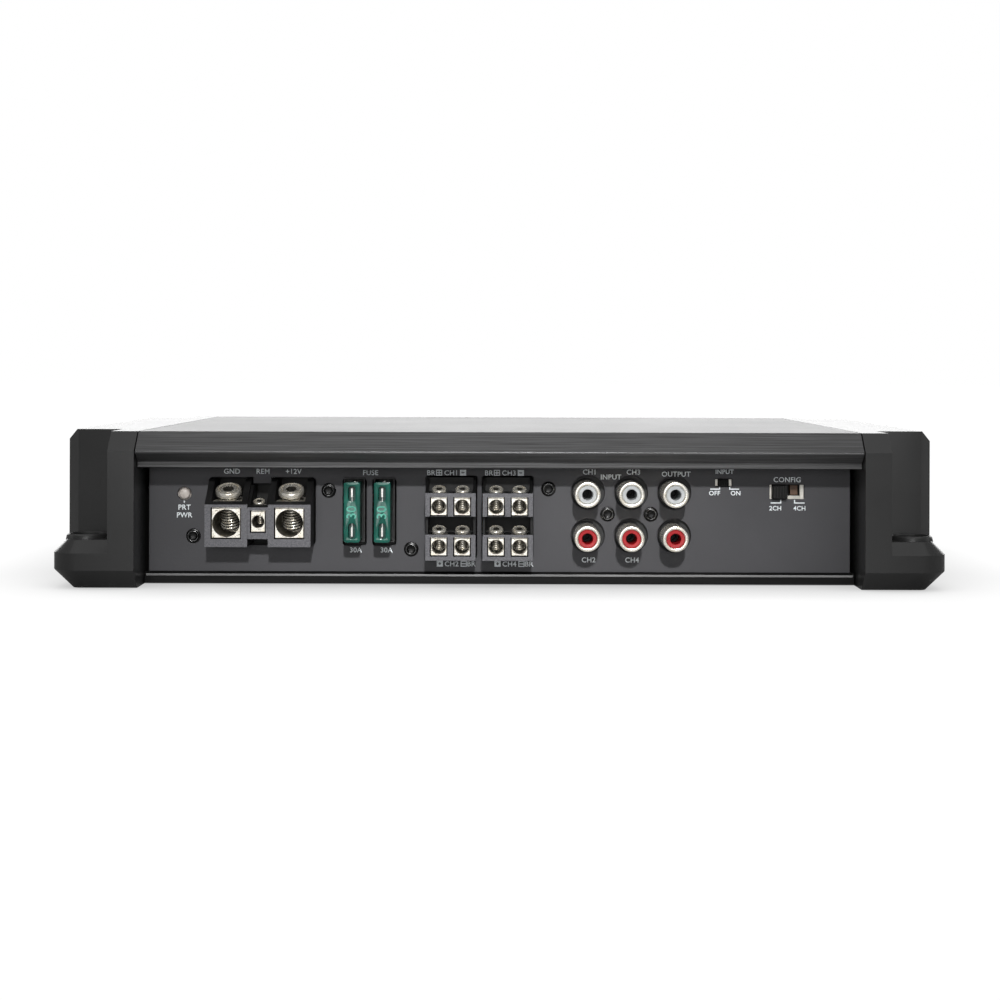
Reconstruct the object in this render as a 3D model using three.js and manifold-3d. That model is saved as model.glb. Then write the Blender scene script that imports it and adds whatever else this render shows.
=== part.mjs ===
// A four-channel car amplifier: an extruded heatsink over a base plate, two moulded end caps with
// mounting feet, and a terminal panel and a control panel set back under the heatsink's edges.
// Millimetres, +Z up, terminals towards -Y. The origin is under the middle of the base.
import * as THREE from 'three';
import { mergeVertices } from 'three/addons/utils/BufferGeometryUtils.js';
import Module from 'manifold-3d';

const wasm = await Module();
wasm.setup();

// ---- Driving dimensions ----------------------------------------------------------------------

// Whole amplifier
const bodyWidth = 282;
const bodyDepth = 178;
const bodyHeight = 49.5;
const gap = 0.3; // left between pieces that touch

// End caps
const capWidth = 26.6;
const capStripWidth = 8.3;
const capNotchDepth = 24;
const capCornerChamfer = 3.8;
const capSideChamfer = 3.3;
const capWall = 4;
const footEdge = 6; // height of the sloped edge under the cap, and its slope inwards
const footShoulder = 11.4;
const footHeight = 15.3;
const footSlope = 4;
const footCornerRadius = 8.5;
const footCornerSteps = 8;
const slotWidth = 5.5;
const slotLength = 8;
const slotInset = 12;
const slotSideInset = 9.5;
const counterboreRadius = 5;
const counterboreDepth = 1;

// Heatsink profile
const edgeSlope = 6; // the brushed 45-degree edge along front and back
const noseDrop = 6; // from the top down to the nose of the edge
const noseFlat = 0.6;
const lipSetback = 4.2;
const lipTop = 40;
const lipBottom = 38.2;
const lipThickness = 2.8;
const roofThickness = 5.5;
const ribHeight = 3;
const ribThickness = 1.5;

// Base plate
const baseThickness = 1.7;
const baseRaise = 0.3;
const baseLipHeight = 4.2;
const baseLipShoulder = 2.6;
const baseLipThickness = 0.9;
const standoffRadius = 3;
const standoffInset = 14; // from the plate's ends
const standoffSetback = 12; // behind the panels

// Panels
const panelSetback = 17.2; // from the heatsink's nose to the panel's face
const panelThickness = 1.5;
const windowClearance = 0.4;

// Circuit board
const boardThickness = 1.6;
const boardBottom = 7;
const boardEdgeClearance = 4;

// Terminal blocks
const terminalReach = 11.6; // how far the terminals stand out of the panel
const blockDepth = 23.4;
const screwTilt = 25; // degrees, heads leaning out of the panel
const windowTop = 34.3;
const towerSize = 13.5;
const towerBottom = 13;
const towerWall = 1.9;
const groundX = -86.4;
const batteryX = -66.4;
const remoteX = -76.3;
const remoteBottom = 15.5;
const remoteTop = 25.5;
const powerHoleRadius = 4.35;
const powerHoleZ = 20.5;
const powerLugWidth = 9;
const powerLugHeight = 9.3;
const remoteHoleRadius = 1.95;
const remoteHoleZ = 21;
const remoteLugWidth = 4.4;
const remoteLugHeight = 6.4;
const powerScrewRadius = 3.2;
const powerHeadRadius = 4.2;
const remoteScrewRadius = 1.1;
const remoteHeadRadius = 1.9;

// Speaker blocks
const speakerBlockWidth = 15.9;
const speakerCentres = [-15.5, 2.6];
const speakerPitch = 7.4;
const speakerRows = [13.2, 25.9]; // heights of the wire holes
const speakerStepBottoms = [8.9, 22.8];
const speakerStepTops = [17.1, 30.2];
const speakerBlockTop = 34.6;
const speakerHoleRadius = 2.1;
const speakerLugWidth = 5;
const speakerLugHeight = 5.4;
const speakerScrewRadius = 1.5;
const speakerHeadRadius = 2.35;

// Blade fuses
const fuseXs = [-46.65, -37.1];
const fuseZ = 24;
const fuseHeight = 19.1;
const fuseWidth = 5.2;
const fuseBodyDepth = 12.4;
const bladeLength = 6.6;
const bladeWidth = 5.1;
const bladeThickness = 0.7;
const bladeSpread = 6.6;
const socketPocket = 2.1;
const socketDepth = 12.6;
const socketWall = 0.8;

// Signal jacks
const jackXs = [27.8, 41.7, 55.6];
const jackZs = [15.9, 29.8];
const jackReach = 12.2;
const sleeveRadius = 4.1;
const sleeveBore = 3.2;
const insulatorRadius = 2.9;
const jackBore = 1.7;
const collarRadius = 4.4;
const jackHoleClearance = 1;
const jackHoleShift = 0.6;
const jackBlockDepth = 13;

// Slide switches: window width and height, place, and the knob in it
const inputSwitch = { x: 72.1, z: 33, width: 5.4, height: 2.6, knob: 3.1, reach: 1.2 };
const configSwitch = { x: 92.5, z: 30.1, width: 11.1, height: 4.7, knob: 5, reach: 2.6 };
const filterSwitch = { width: 8.4, height: 3.6, knob: 3.4, reach: 1.4 };
const filterSwitchXs = [-84, 84];
const filterSwitchZ = 22;

// Control knobs, indicator and panel screws
const knobRadius = 3.4;
const knobReach = 1;
const knobXs = [-60, -34, 34, 60];
const knobZ = 22;
const ledRadius = 1.75;
const ledX = -101.5;
const ledZ = 29;
const screwHoleRadius = 1.3;
const screwPlaces = [
  [-98.5, 15.5], [-55, 30.2], [-28.4, 11.4], [15.7, 30.9], [34.75, 22.85], [48.65, 22.85],
];

// ---- Places worked out from them -------------------------------------------------------------

const halfWidth = bodyWidth / 2;
const halfDepth = bodyDepth / 2;
const capInner = halfWidth - capWidth;
const spanEnd = capInner - gap;
const panelFace = -halfDepth + panelSetback;
const panelBack = panelFace + panelThickness;
const roofUnderside = bodyHeight - roofThickness;
const boardTop = boardBottom + boardThickness;
const seatZ = boardTop + gap;
const terminalFace = panelFace - terminalReach;
const blockBack = terminalFace + blockDepth;
const radians = Math.PI / 180;
const tilt = screwTilt * radians;

// ---- Solids ----------------------------------------------------------------------------------

function solid(geometry) {
  const bare = geometry.clone();
  bare.deleteAttribute('normal');
  bare.deleteAttribute('uv');
  const merged = mergeVertices(bare, 1e-4);
  const triVerts = new Uint32Array(merged.index.array);
  const vertProperties = new Float32Array(merged.attributes.position.array);
  return new wasm.Manifold(new wasm.Mesh({ numProp: 3, vertProperties, triVerts }));
}

function geometryOf(body) {
  const mesh = body.getMesh();
  const geometry = new THREE.BufferGeometry();
  geometry.setAttribute('position', new THREE.BufferAttribute(new Float32Array(mesh.vertProperties), 3));
  geometry.setIndex(new THREE.BufferAttribute(new Uint32Array(mesh.triVerts), 1));
  geometry.computeVertexNormals();
  return geometry;
}

function join(bodies) {
  return bodies.reduce((whole, body) => whole.add(body));
}

function cut(body, tools) {
  return tools.reduce((left, tool) => left.subtract(tool), body);
}

function box(x0, x1, y0, y1, z0, z1) {
  const geometry = new THREE.BoxGeometry(x1 - x0, y1 - y0, z1 - z0);
  geometry.translate((x0 + x1) / 2, (y0 + y1) / 2, (z0 + z1) / 2);
  return solid(geometry);
}

function outlineOf(points) {
  return new THREE.Shape(points.map(([a, b]) => new THREE.Vector2(a, b)));
}

function extrusion(outline, depth) {
  const shape = Array.isArray(outline) ? outlineOf(outline) : outline;
  return new THREE.ExtrudeGeometry(shape, { depth, bevelEnabled: false, curveSegments: 3 });
}

// An outline of [y, z] points, extruded along X
function alongX(outline, x0, x1) {
  const turn = new THREE.Matrix4().set(0, 0, 1, x0, 1, 0, 0, 0, 0, 1, 0, 0, 0, 0, 0, 1);
  return solid(extrusion(outline, x1 - x0).applyMatrix4(turn));
}

// An outline of [x, z] points, extruded along Y
function alongY(outline, y0, y1) {
  const turn = new THREE.Matrix4().set(1, 0, 0, 0, 0, 0, -1, y1, 0, 1, 0, 0, 0, 0, 0, 1);
  return solid(extrusion(outline, y1 - y0).applyMatrix4(turn));
}

// A rectangle with round corners, centred on x, z
function roundedWindow(x, z, width, height, radius) {
  const [left, right, low, high] = [x - width / 2, x + width / 2, z - height / 2, z + height / 2];
  const shape = new THREE.Shape();
  shape.moveTo(left + radius, low);
  shape.lineTo(right - radius, low);
  shape.absarc(right - radius, low + radius, radius, -Math.PI / 2, 0);
  shape.lineTo(right, high - radius);
  shape.absarc(right - radius, high - radius, radius, 0, Math.PI / 2);
  shape.lineTo(left + radius, high);
  shape.absarc(left + radius, high - radius, radius, Math.PI / 2, Math.PI);
  shape.lineTo(left, low + radius);
  shape.absarc(left + radius, low + radius, radius, Math.PI, Math.PI * 1.5);
  return shape;
}

function rodAlongY(radius, x, z, y0, y1, sides = 16) {
  const geometry = new THREE.CylinderGeometry(radius, radius, y1 - y0, sides);
  geometry.translate(x, (y0 + y1) / 2, z);
  return solid(geometry);
}

function rodAlongZ(radius, x, y, z0, z1, sides = 16) {
  const geometry = new THREE.CylinderGeometry(radius, radius, z1 - z0, sides);
  geometry.rotateX(Math.PI / 2);
  geometry.translate(x, y, (z0 + z1) / 2);
  return solid(geometry);
}

// A rod on the tilted axis of a clamp screw that crosses the wire hole's axis at x, y, z
function rodOnScrewAxis(radius, x, y, z, from, to, sides = 16) {
  const geometry = new THREE.CylinderGeometry(radius, radius, to - from, sides);
  geometry.translate(0, (from + to) / 2, 0);
  geometry.rotateX(Math.PI / 2 + tilt);
  geometry.translate(x, y, z);
  return solid(geometry);
}

// A body through outlines of the same number of points, one above the other
function loft(sections) {
  const count = sections[0].points.length;
  const positions = [];
  const indices = [];
  for (const { points, z } of sections) {
    for (const [x, y] of points) positions.push(x, y, z);
  }
  for (let level = 0; level + 1 < sections.length; level += 1) {
    for (let i = 0; i < count; i += 1) {
      const next = (i + 1) % count;
      const [a, b] = [level * count + i, level * count + next];
      indices.push(a, b, b + count, a, b + count, a + count);
    }
  }
  const flat = sections[0].points.map(([x, y]) => new THREE.Vector2(x, y));
  const top = (sections.length - 1) * count;
  for (const [a, b, c] of THREE.ShapeUtils.triangulateShape(flat, [])) {
    indices.push(c, b, a, top + a, top + b, top + c);
  }
  const geometry = new THREE.BufferGeometry();
  geometry.setAttribute('position', new THREE.Float32BufferAttribute(positions, 3));
  geometry.setIndex(indices);
  return solid(geometry);
}

// ---- Materials -------------------------------------------------------------------------------

const finishes = {
  anodised: { color: 0x3a3a3c, roughness: 0.42, metalness: 0.85 },
  moulded: { color: 0x202124, roughness: 0.6, metalness: 0.1 },
  painted: { color: 0x303236, roughness: 0.5, metalness: 0.3 },
  steel: { color: 0x8d8f92, roughness: 0.35, metalness: 1 },
  nickel: { color: 0xcfc8b4, roughness: 0.25, metalness: 1 },
  terminalPlastic: { color: 0x55545c, roughness: 0.65, metalness: 0 },
  blackPlastic: { color: 0x101012, roughness: 0.4, metalness: 0 },
  fuseGreen: { color: 0x0c6a52, roughness: 0.15, metalness: 0 },
  jackPlastic: { color: 0xd8d8d4, roughness: 0.4, metalness: 0 },
  board: { color: 0x0c4a2c, roughness: 0.5, metalness: 0 },
  copper: { color: 0xb0602c, roughness: 0.35, metalness: 1 },
  capacitorFoil: { color: 0x1b2530, roughness: 0.3, metalness: 0.2 },
  lens: { color: 0xf2ead6, roughness: 0.2, metalness: 0 },
};
const materials = Object.fromEntries(
  Object.entries(finishes).map(([name, look]) => [name, new THREE.MeshStandardMaterial({ name, ...look })]),
);

const amplifier = new THREE.Group();

function addPiece(name, body, finish) {
  const mesh = new THREE.Mesh(geometryOf(body), materials[finish]);
  mesh.name = name;
  amplifier.add(mesh);
}

// ---- Heatsink --------------------------------------------------------------------------------

function heatsinkShell() {
  const nose = bodyHeight - noseDrop;
  const lipBack = lipSetback + lipThickness;
  const rib = panelSetback + panelThickness + gap;
  const halfProfile = [
    [edgeSlope, bodyHeight], [0, nose], [0, nose - noseFlat], [lipSetback, lipTop], [lipSetback, lipBottom],
    [lipBack, lipBottom], [lipBack, roofUnderside], [rib, roofUnderside], [rib, roofUnderside - ribHeight],
    [rib + ribThickness, roofUnderside - ribHeight], [rib + ribThickness, roofUnderside],
  ];
  const front = halfProfile.map(([setback, z]) => [-halfDepth + setback, z]);
  const back = halfProfile.map(([setback, z]) => [halfDepth - setback, z]).reverse();
  return alongX([...front, ...back], -spanEnd, spanEnd);
}
addPiece('heatsink_shell', heatsinkShell(), 'anodised');

// ---- Base plate, with the standoffs that carry the circuit board ------------------------------

function basePlate() {
  const lipInner = panelFace - gap;
  const lipOuter = lipInner - baseLipThickness;
  const top = baseRaise + baseThickness;
  const half = [
    [lipOuter, baseRaise], [lipOuter, baseLipShoulder], [lipInner - gap, baseLipHeight],
    [lipInner, baseLipHeight], [lipInner, top],
  ];
  const mirrored = half.map(([y, z]) => [-y, z]).reverse();
  const plate = alongX([...half, ...mirrored], -spanEnd, spanEnd);
  const standoffX = spanEnd - standoffInset;
  const standoffY = -panelBack - standoffSetback;
  const standoffs = [-1, 1].flatMap((sx) => [-1, 1].map((sy) => rodAlongZ(
    standoffRadius, sx * standoffX, sy * standoffY, top - 0.5, boardBottom - gap, 12,
  )));
  return join([plate, ...standoffs]);
}
addPiece('base_plate', basePlate(), 'steel');

// ---- End caps --------------------------------------------------------------------------------

function capPlan(inset) {
  const end = halfDepth - inset;
  const radius = footCornerRadius - inset;
  const centreX = halfWidth - footCornerRadius;
  const centreY = halfDepth - footCornerRadius;
  const points = [[capInner, -end]];
  const steps = footCornerSteps;
  for (let i = 0; i <= steps; i += 1) {
    const angle = (i / steps - 1) * (Math.PI / 2);
    points.push([centreX + radius * Math.cos(angle), -centreY + radius * Math.sin(angle)]);
  }
  for (let i = 0; i <= steps; i += 1) {
    const angle = (i / steps) * (Math.PI / 2);
    points.push([centreX + radius * Math.cos(angle), centreY + radius * Math.sin(angle)]);
  }
  points.push([capInner, end]);
  return points;
}

function endCap() {
  const feet = loft([
    { points: capPlan(footEdge), z: 0 },
    { points: capPlan(0), z: footEdge },
    { points: capPlan(0), z: footShoulder },
    { points: capPlan(footSlope), z: footHeight },
  ]);
  const stripEdge = capInner + capStripWidth;
  const notchY = halfDepth - capNotchDepth;
  const corner = halfWidth - capCornerChamfer;
  const cornerY = notchY - capCornerChamfer;
  const wallPlan = [
    [capInner, -halfDepth], [stripEdge, -halfDepth], [stripEdge, -notchY], [corner, -notchY],
    [halfWidth, -cornerY], [halfWidth, cornerY], [corner, notchY], [stripEdge, notchY],
    [stripEdge, halfDepth], [capInner, halfDepth],
  ];
  const wall = loft([{ points: wallPlan, z: footEdge }, { points: wallPlan, z: bodyHeight }]);
  const over = bodyHeight + 1;
  const frontEdge = [
    [-halfDepth - 1, bodyHeight - edgeSlope - 1], [-halfDepth - 1, over], [-halfDepth + edgeSlope + 1, over],
  ];
  const edges = [
    alongX(frontEdge, capInner - 1, halfWidth + 1),
    alongX(frontEdge.map(([y, z]) => [-y, z]).reverse(), capInner - 1, halfWidth + 1),
    alongY([
      [halfWidth - capSideChamfer - 1, over], [halfWidth + 1, bodyHeight - capSideChamfer - 1],
      [halfWidth + 1, over],
    ], -halfDepth, halfDepth),
  ];
  const hollowEnd = notchY - capCornerChamfer - capWall;
  const hollow = box(
    capInner - 1, halfWidth - capWall - 0.5, -hollowEnd, hollowEnd, capWall, bodyHeight - capWall,
  );
  const slotX = halfWidth - slotSideInset;
  const slots = [-1, 1].flatMap((side) => {
    const y = side * (halfDepth - slotInset);
    const run = (slotLength - slotWidth) / 2;
    const ends = [-run, run].map(
      (shift) => rodAlongZ(slotWidth / 2, slotX, y + shift, -1, footHeight + 1, 14),
    );
    const middle = box(slotX - slotWidth / 2, slotX + slotWidth / 2, y - run, y + run, -1, footHeight + 1);
    const recess = rodAlongZ(counterboreRadius, slotX, y, footHeight - counterboreDepth, footHeight + 1, 20);
    return [...ends, middle, recess];
  });
  return cut(join([feet, wall]), [...edges, hollow, ...slots]);
}
const rightCap = endCap();
addPiece('end_cap_right', rightCap, 'moulded');
addPiece('end_cap_left', rightCap.mirror([1, 0, 0]), 'moulded');

// ---- Panels ----------------------------------------------------------------------------------

const panelBottom = baseRaise + baseThickness + gap;
const panelTop = roofUnderside - gap;

function panelBlank(y0, y1) {
  return box(-spanEnd, spanEnd, y0, y1, panelBottom, panelTop);
}

function windowTool(x0, x1, z0, z1, radius, y0, y1) {
  return alongY(roundedWindow((x0 + x1) / 2, (z0 + z1) / 2, x1 - x0, z1 - z0, radius), y0 - 1, y1 + 1);
}

function terminalPanel() {
  const tool = (x0, x1, z0, z1, radius) => windowTool(x0, x1, z0, z1, radius, panelFace, panelBack);
  const hole = (radius, x, z, sides) => rodAlongY(radius, x, z, panelFace - 1, panelBack + 1, sides);
  const powerLeft = groundX - towerSize / 2 - windowClearance;
  const powerRight = batteryX + towerSize / 2 + windowClearance;
  const windows = [tool(powerLeft, powerRight, towerBottom - windowClearance, windowTop, 1.2)];
  for (const x of speakerCentres) {
    const half = speakerBlockWidth / 2 + windowClearance;
    const [low, high] = [speakerStepBottoms[0] - windowClearance, speakerBlockTop + windowClearance];
    windows.push(tool(x - half, x + half, low, high, 0.8));
  }
  for (const x of fuseXs) {
    const half = fuseWidth / 2 + socketWall + windowClearance;
    const tall = fuseHeight / 2 + socketWall + windowClearance;
    windows.push(tool(x - half, x + half, fuseZ - tall, fuseZ + tall, 0.5));
  }
  for (const slide of [inputSwitch, configSwitch]) {
    const [w, h] = [slide.width / 2, slide.height / 2];
    windows.push(box(slide.x - w, slide.x + w, panelFace - 1, panelBack + 1, slide.z - h, slide.z + h));
  }
  for (const x of jackXs) {
    for (const z of jackZs) windows.push(hole(collarRadius + jackHoleClearance, x + jackHoleShift, z, 14));
  }
  for (const [x, z] of screwPlaces) windows.push(hole(screwHoleRadius, x, z, 6));
  windows.push(hole(ledRadius + 2 * gap, ledX, ledZ, 10));
  return cut(panelBlank(panelFace, panelBack), windows);
}
addPiece('terminal_panel', terminalPanel(), 'painted');

function controlPanel() {
  const windows = knobXs.map(
    (x) => rodAlongY(knobRadius + windowClearance, x, knobZ, -panelBack - 1, -panelFace + 1, 14),
  );
  for (const x of filterSwitchXs) {
    const [w, h] = [filterSwitch.width / 2, filterSwitch.height / 2];
    windows.push(box(x - w, x + w, -panelBack - 1, -panelFace + 1, filterSwitchZ - h, filterSwitchZ + h));
  }
  return cut(panelBlank(-panelBack, -panelFace), windows);
}
addPiece('control_panel', controlPanel(), 'painted');

// ---- Circuit board and what stands on it -----------------------------------------------------

const boardEnd = spanEnd - boardEdgeClearance;
const boardFront = panelBack + 1;
addPiece('circuit_board', box(-boardEnd, boardEnd, boardFront, -boardFront, boardBottom, boardTop), 'board');

const toroidPlace = [-26, 4];
const toroidRadius = 16; // to the middle of the winding
const windingRadius = 8;

function toroid([x, y], meanRadius, wireRadius) {
  const profile = [];
  const sides = 8;
  for (let i = 0; i <= sides; i += 1) {
    const angle = (i / sides) * Math.PI * 2;
    profile.push(new THREE.Vector2(meanRadius + wireRadius * Math.cos(angle), wireRadius * Math.sin(angle)));
  }
  const ring = new THREE.LatheGeometry(profile, 20);
  ring.rotateX(Math.PI / 2);
  ring.translate(x, y, seatZ + wireRadius);
  return solid(ring);
}
addPiece('power_transformer', toroid(toroidPlace, toroidRadius, windingRadius), 'copper');

const capacitorRadius = 9;
const capacitorTop = 36;
const capacitorY = -14;
for (const [side, x] of [['left', -84], ['right', -62]]) {
  const can = rodAlongZ(capacitorRadius, x, capacitorY, seatZ, capacitorTop);
  addPiece(`capacitor_${side}`, can, 'capacitorFoil');
}

// A clamp bar under the roof with its row of power transistors
const barLength = 180;
const barWidth = 10;
const barThickness = 4;
const transistorCount = 8;
const transistorPitch = 22;
const transistorSize = [10, 4.6, 17];
const barSetback = 28.3; // from a panel's back, past the blocks that stand behind it

function transistorBar(y) {
  const barBottom = roofUnderside - barThickness;
  const [reach, half] = [barLength / 2, barWidth / 2];
  const parts = [box(-reach, reach, y - half, y + half, barBottom, roofUnderside - gap)];
  const [wide, thick, tall] = transistorSize;
  for (let i = 0; i < transistorCount; i += 1) {
    const x = (i - (transistorCount - 1) / 2) * transistorPitch;
    const top = barBottom + 1;
    parts.push(box(x - wide / 2, x + wide / 2, y - thick / 2, y + thick / 2, top - tall, top));
  }
  return join(parts);
}
addPiece('transistor_bar_front', transistorBar(panelBack + barSetback), 'steel');
addPiece('transistor_bar_rear', transistorBar(-panelBack - barSetback), 'steel');

// ---- Power terminals -------------------------------------------------------------------------

const frontWall = 1.3; // of a terminal block, in front of the recess over its lugs
const lugFace = terminalFace + 0.4;
const powerRise = 2.2; // how far a lug's back stands higher than its face
const remoteRise = 1.2;
const powerHeadHeight = 2;
const smallHeadHeight = 1.1;

// How far along a clamp screw's axis its head starts, just clear of the lug under it
function headSeat(lugHeight, rise, headRadius) {
  return (lugHeight / 2 + rise + headRadius * Math.sin(tilt) + gap) / Math.cos(tilt);
}

// Where a clamp screw's axis crosses the wire hole's, so that its head just clears the front wall
function crossingOf(seat, headRadius, headHeight) {
  const lean = headRadius * Math.cos(tilt) + (seat + headHeight) * Math.sin(tilt);
  return terminalFace + frontWall + gap + lean;
}
const powerSeat = headSeat(powerLugHeight, powerRise, powerHeadRadius);
const powerCrossing = crossingOf(powerSeat, powerHeadRadius, powerHeadHeight);
const remoteSeat = headSeat(remoteLugHeight, remoteRise, remoteHeadRadius);
const remoteCrossing = crossingOf(remoteSeat, remoteHeadRadius, smallHeadHeight);

function powerBlock() {
  const left = groundX - towerSize / 2;
  const right = batteryX + towerSize / 2;
  const towerTop = towerBottom + towerSize - 0.1;
  const wallTop = windowTop - windowClearance;
  const wallProfile = [
    [terminalFace, towerBottom], [blockBack, towerBottom], [blockBack, wallTop],
    [panelFace - 2, wallTop], [terminalFace, towerTop],
  ];
  const towers = [groundX, batteryX].map((x) => alongX(wallProfile, x - towerSize / 2, x + towerSize / 2));
  const remoteProfile = [
    [terminalFace + 0.2, remoteBottom], [blockBack, remoteBottom], [blockBack, wallTop - 2],
    [panelFace - 2, wallTop - 2], [terminalFace + 0.2, remoteTop],
  ];
  const bridge = alongX(remoteProfile, groundX + towerSize / 2 - 0.5, batteryX - towerSize / 2 + 0.5);
  const foot = box(left, right, panelBack + 1, blockBack, seatZ, towerBottom + 1);
  const tools = [];
  for (const x of [groundX, batteryX]) {
    const half = powerLugWidth / 2 + gap;
    const inner = towerSize / 2 - towerWall;
    const [low, high] = [powerHoleZ - powerLugHeight / 2 - gap, powerHoleZ + powerLugHeight / 2 + gap];
    tools.push(box(x - half, x + half, terminalFace - 1, blockBack - 3, low, high));
    tools.push(box(x - inner, x + inner, terminalFace + frontWall, blockBack - 3, high - 1, windowTop + 3));
  }
  const half = remoteLugWidth / 2 + gap;
  const [low, high] = [remoteHoleZ - remoteLugHeight / 2 - gap, remoteHoleZ + remoteLugHeight / 2 + gap];
  const [x0, x1] = [remoteX - half, remoteX + half];
  tools.push(box(x0, x1, terminalFace - 1, blockBack - 6, low, high));
  tools.push(box(x0, x1, terminalFace + frontWall, blockBack - 6, high - 1, windowTop + 3));
  return cut(join([...towers, bridge, foot]), tools);
}
addPiece('power_terminal_block', powerBlock(), 'terminalPlastic');

// A clamp lug: a metal block with the wire hole from the front and the tilted screw hole from above
function lug(x, z, width, height, rise, depth, hole, crossing, screwRadius) {
  const back = lugFace + depth;
  const [x0, x1] = [x - width / 2, x + width / 2];
  const front = box(x0, x1, lugFace, back, z - height / 2, z + height / 2);
  const collar = box(x0, x1, terminalFace + frontWall + gap, back, z, z + height / 2 + rise);
  const tools = [
    rodAlongY(hole, x, z, lugFace - 1, back - 1.5, 14),
    rodOnScrewAxis(screwRadius + 0.3, x, crossing, z, -2, 20, 12),
  ];
  return cut(join([front, collar]), tools);
}

// A clamp screw: a shank that reaches halfway down the wire hole and a flat head with a hex socket
function clampScrew(x, z, crossing, shankRadius, headRadius, holeRadius, under, headHeight) {
  const top = under + headHeight;
  const shank = rodOnScrewAxis(shankRadius, x, crossing, z, -holeRadius / 2, under + 0.2, 10);
  const head = rodOnScrewAxis(headRadius, x, crossing, z, under, top, 14);
  const socket = rodOnScrewAxis(headRadius * 0.5, x, crossing, z, top - headHeight * 0.65, top + 1, 6);
  return join([shank, head]).subtract(socket);
}

const powerLugDepth = blockDepth - 4;
for (const [name, x] of [['ground', groundX], ['battery', batteryX]]) {
  addPiece(`lug_${name}`, lug(
    x, powerHoleZ, powerLugWidth, powerLugHeight, powerRise, powerLugDepth, powerHoleRadius, powerCrossing,
    powerScrewRadius,
  ), 'nickel');
  addPiece(`screw_${name}`, clampScrew(
    x, powerHoleZ, powerCrossing, powerScrewRadius, powerHeadRadius, powerHoleRadius, powerSeat,
    powerHeadHeight,
  ), 'nickel');
}
addPiece('lug_remote', lug(
  remoteX, remoteHoleZ, remoteLugWidth, remoteLugHeight, remoteRise, powerLugDepth - 4, remoteHoleRadius,
  remoteCrossing, remoteScrewRadius,
), 'nickel');
addPiece('screw_remote', clampScrew(
  remoteX, remoteHoleZ, remoteCrossing, remoteScrewRadius, remoteHeadRadius, remoteHoleRadius, remoteSeat,
  smallHeadHeight,
), 'nickel');

// ---- Speaker terminals -----------------------------------------------------------------------

const speakerLugDepth = 12.5;
const speakerRise = 0.6;
const speakerSeat = headSeat(speakerLugHeight, speakerRise, speakerHeadRadius);
const speakerCrossing = crossingOf(speakerSeat, speakerHeadRadius, smallHeadHeight);
const speakerRecessBack = terminalFace + 10.4;

function speakerBlock(centre) {
  const half = speakerBlockWidth / 2;
  const wall = 0.8;
  const [low, middle] = speakerStepBottoms;
  const [lowTop, upTop] = speakerStepTops;
  const profile = [
    [terminalFace, low], [blockBack, low], [blockBack, speakerBlockTop], [panelFace - 2, speakerBlockTop],
    [terminalFace, upTop],
  ];
  const [inner, outer] = [half - wall, half + 1];
  const front = terminalFace - 1;
  const tools = [
    box(centre - inner, centre + inner, front, speakerRecessBack, lowTop, middle),
    box(centre - inner, centre + inner, front, speakerRecessBack, upTop, speakerBlockTop + 1),
    box(centre - outer, centre + outer, front, terminalFace + 2.6, lowTop, middle),
  ];
  const walled = terminalFace + frontWall;
  const pocketBack = lugFace + speakerLugDepth + gap;
  for (const side of [-0.5, 0.5]) {
    const x = centre + side * speakerPitch;
    const w = speakerLugWidth / 2 + gap;
    for (const z of speakerRows) {
      const h = speakerLugHeight / 2 + gap;
      tools.push(box(x - w, x + w, front, pocketBack, z - h, z + h));
      tools.push(box(x - w, x + w, walled, pocketBack, z, z + h + speakerRise));
      tools.push(box(x - w, x + w, walled, speakerRecessBack, z, z + h + speakerRise + 1.2));
    }
  }
  return cut(alongX(profile, centre - half, centre + half), tools);
}

['a', 'b'].forEach((letter, index) => {
  const centre = speakerCentres[index];
  addPiece(`speaker_block_${letter}`, speakerBlock(centre), 'terminalPlastic');
  for (const [side, shift] of [['left', -0.5], ['right', 0.5]]) {
    for (const [row, z] of [['lower', speakerRows[0]], ['upper', speakerRows[1]]]) {
      const x = centre + shift * speakerPitch;
      const place = `${letter}_${row}_${side}`;
      addPiece(`speaker_lug_${place}`, lug(
        x, z, speakerLugWidth, speakerLugHeight, speakerRise, speakerLugDepth, speakerHoleRadius,
        speakerCrossing, speakerScrewRadius,
      ), 'nickel');
      addPiece(`speaker_screw_${place}`, clampScrew(
        x, z, speakerCrossing, speakerScrewRadius, speakerHeadRadius, speakerHoleRadius, speakerSeat,
        smallHeadHeight,
      ), 'nickel');
    }
  }
});

// ---- Fuses and their sockets -----------------------------------------------------------------

const fuseSeat = terminalFace + fuseBodyDepth;
const socketFront = fuseSeat + gap - socketPocket;

function fuse(x) {
  const [w, h] = [fuseWidth / 2, fuseHeight / 2];
  const body = box(x - w, x + w, terminalFace, fuseSeat, fuseZ - h, fuseZ + h);
  const blades = [-1, 1].map((side) => {
    const z = fuseZ + side * bladeSpread;
    return box(
      x - bladeThickness / 2, x + bladeThickness / 2, fuseSeat - 0.5, fuseSeat + bladeLength,
      z - bladeWidth / 2, z + bladeWidth / 2,
    );
  });
  return join([body, ...blades]);
}

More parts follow.
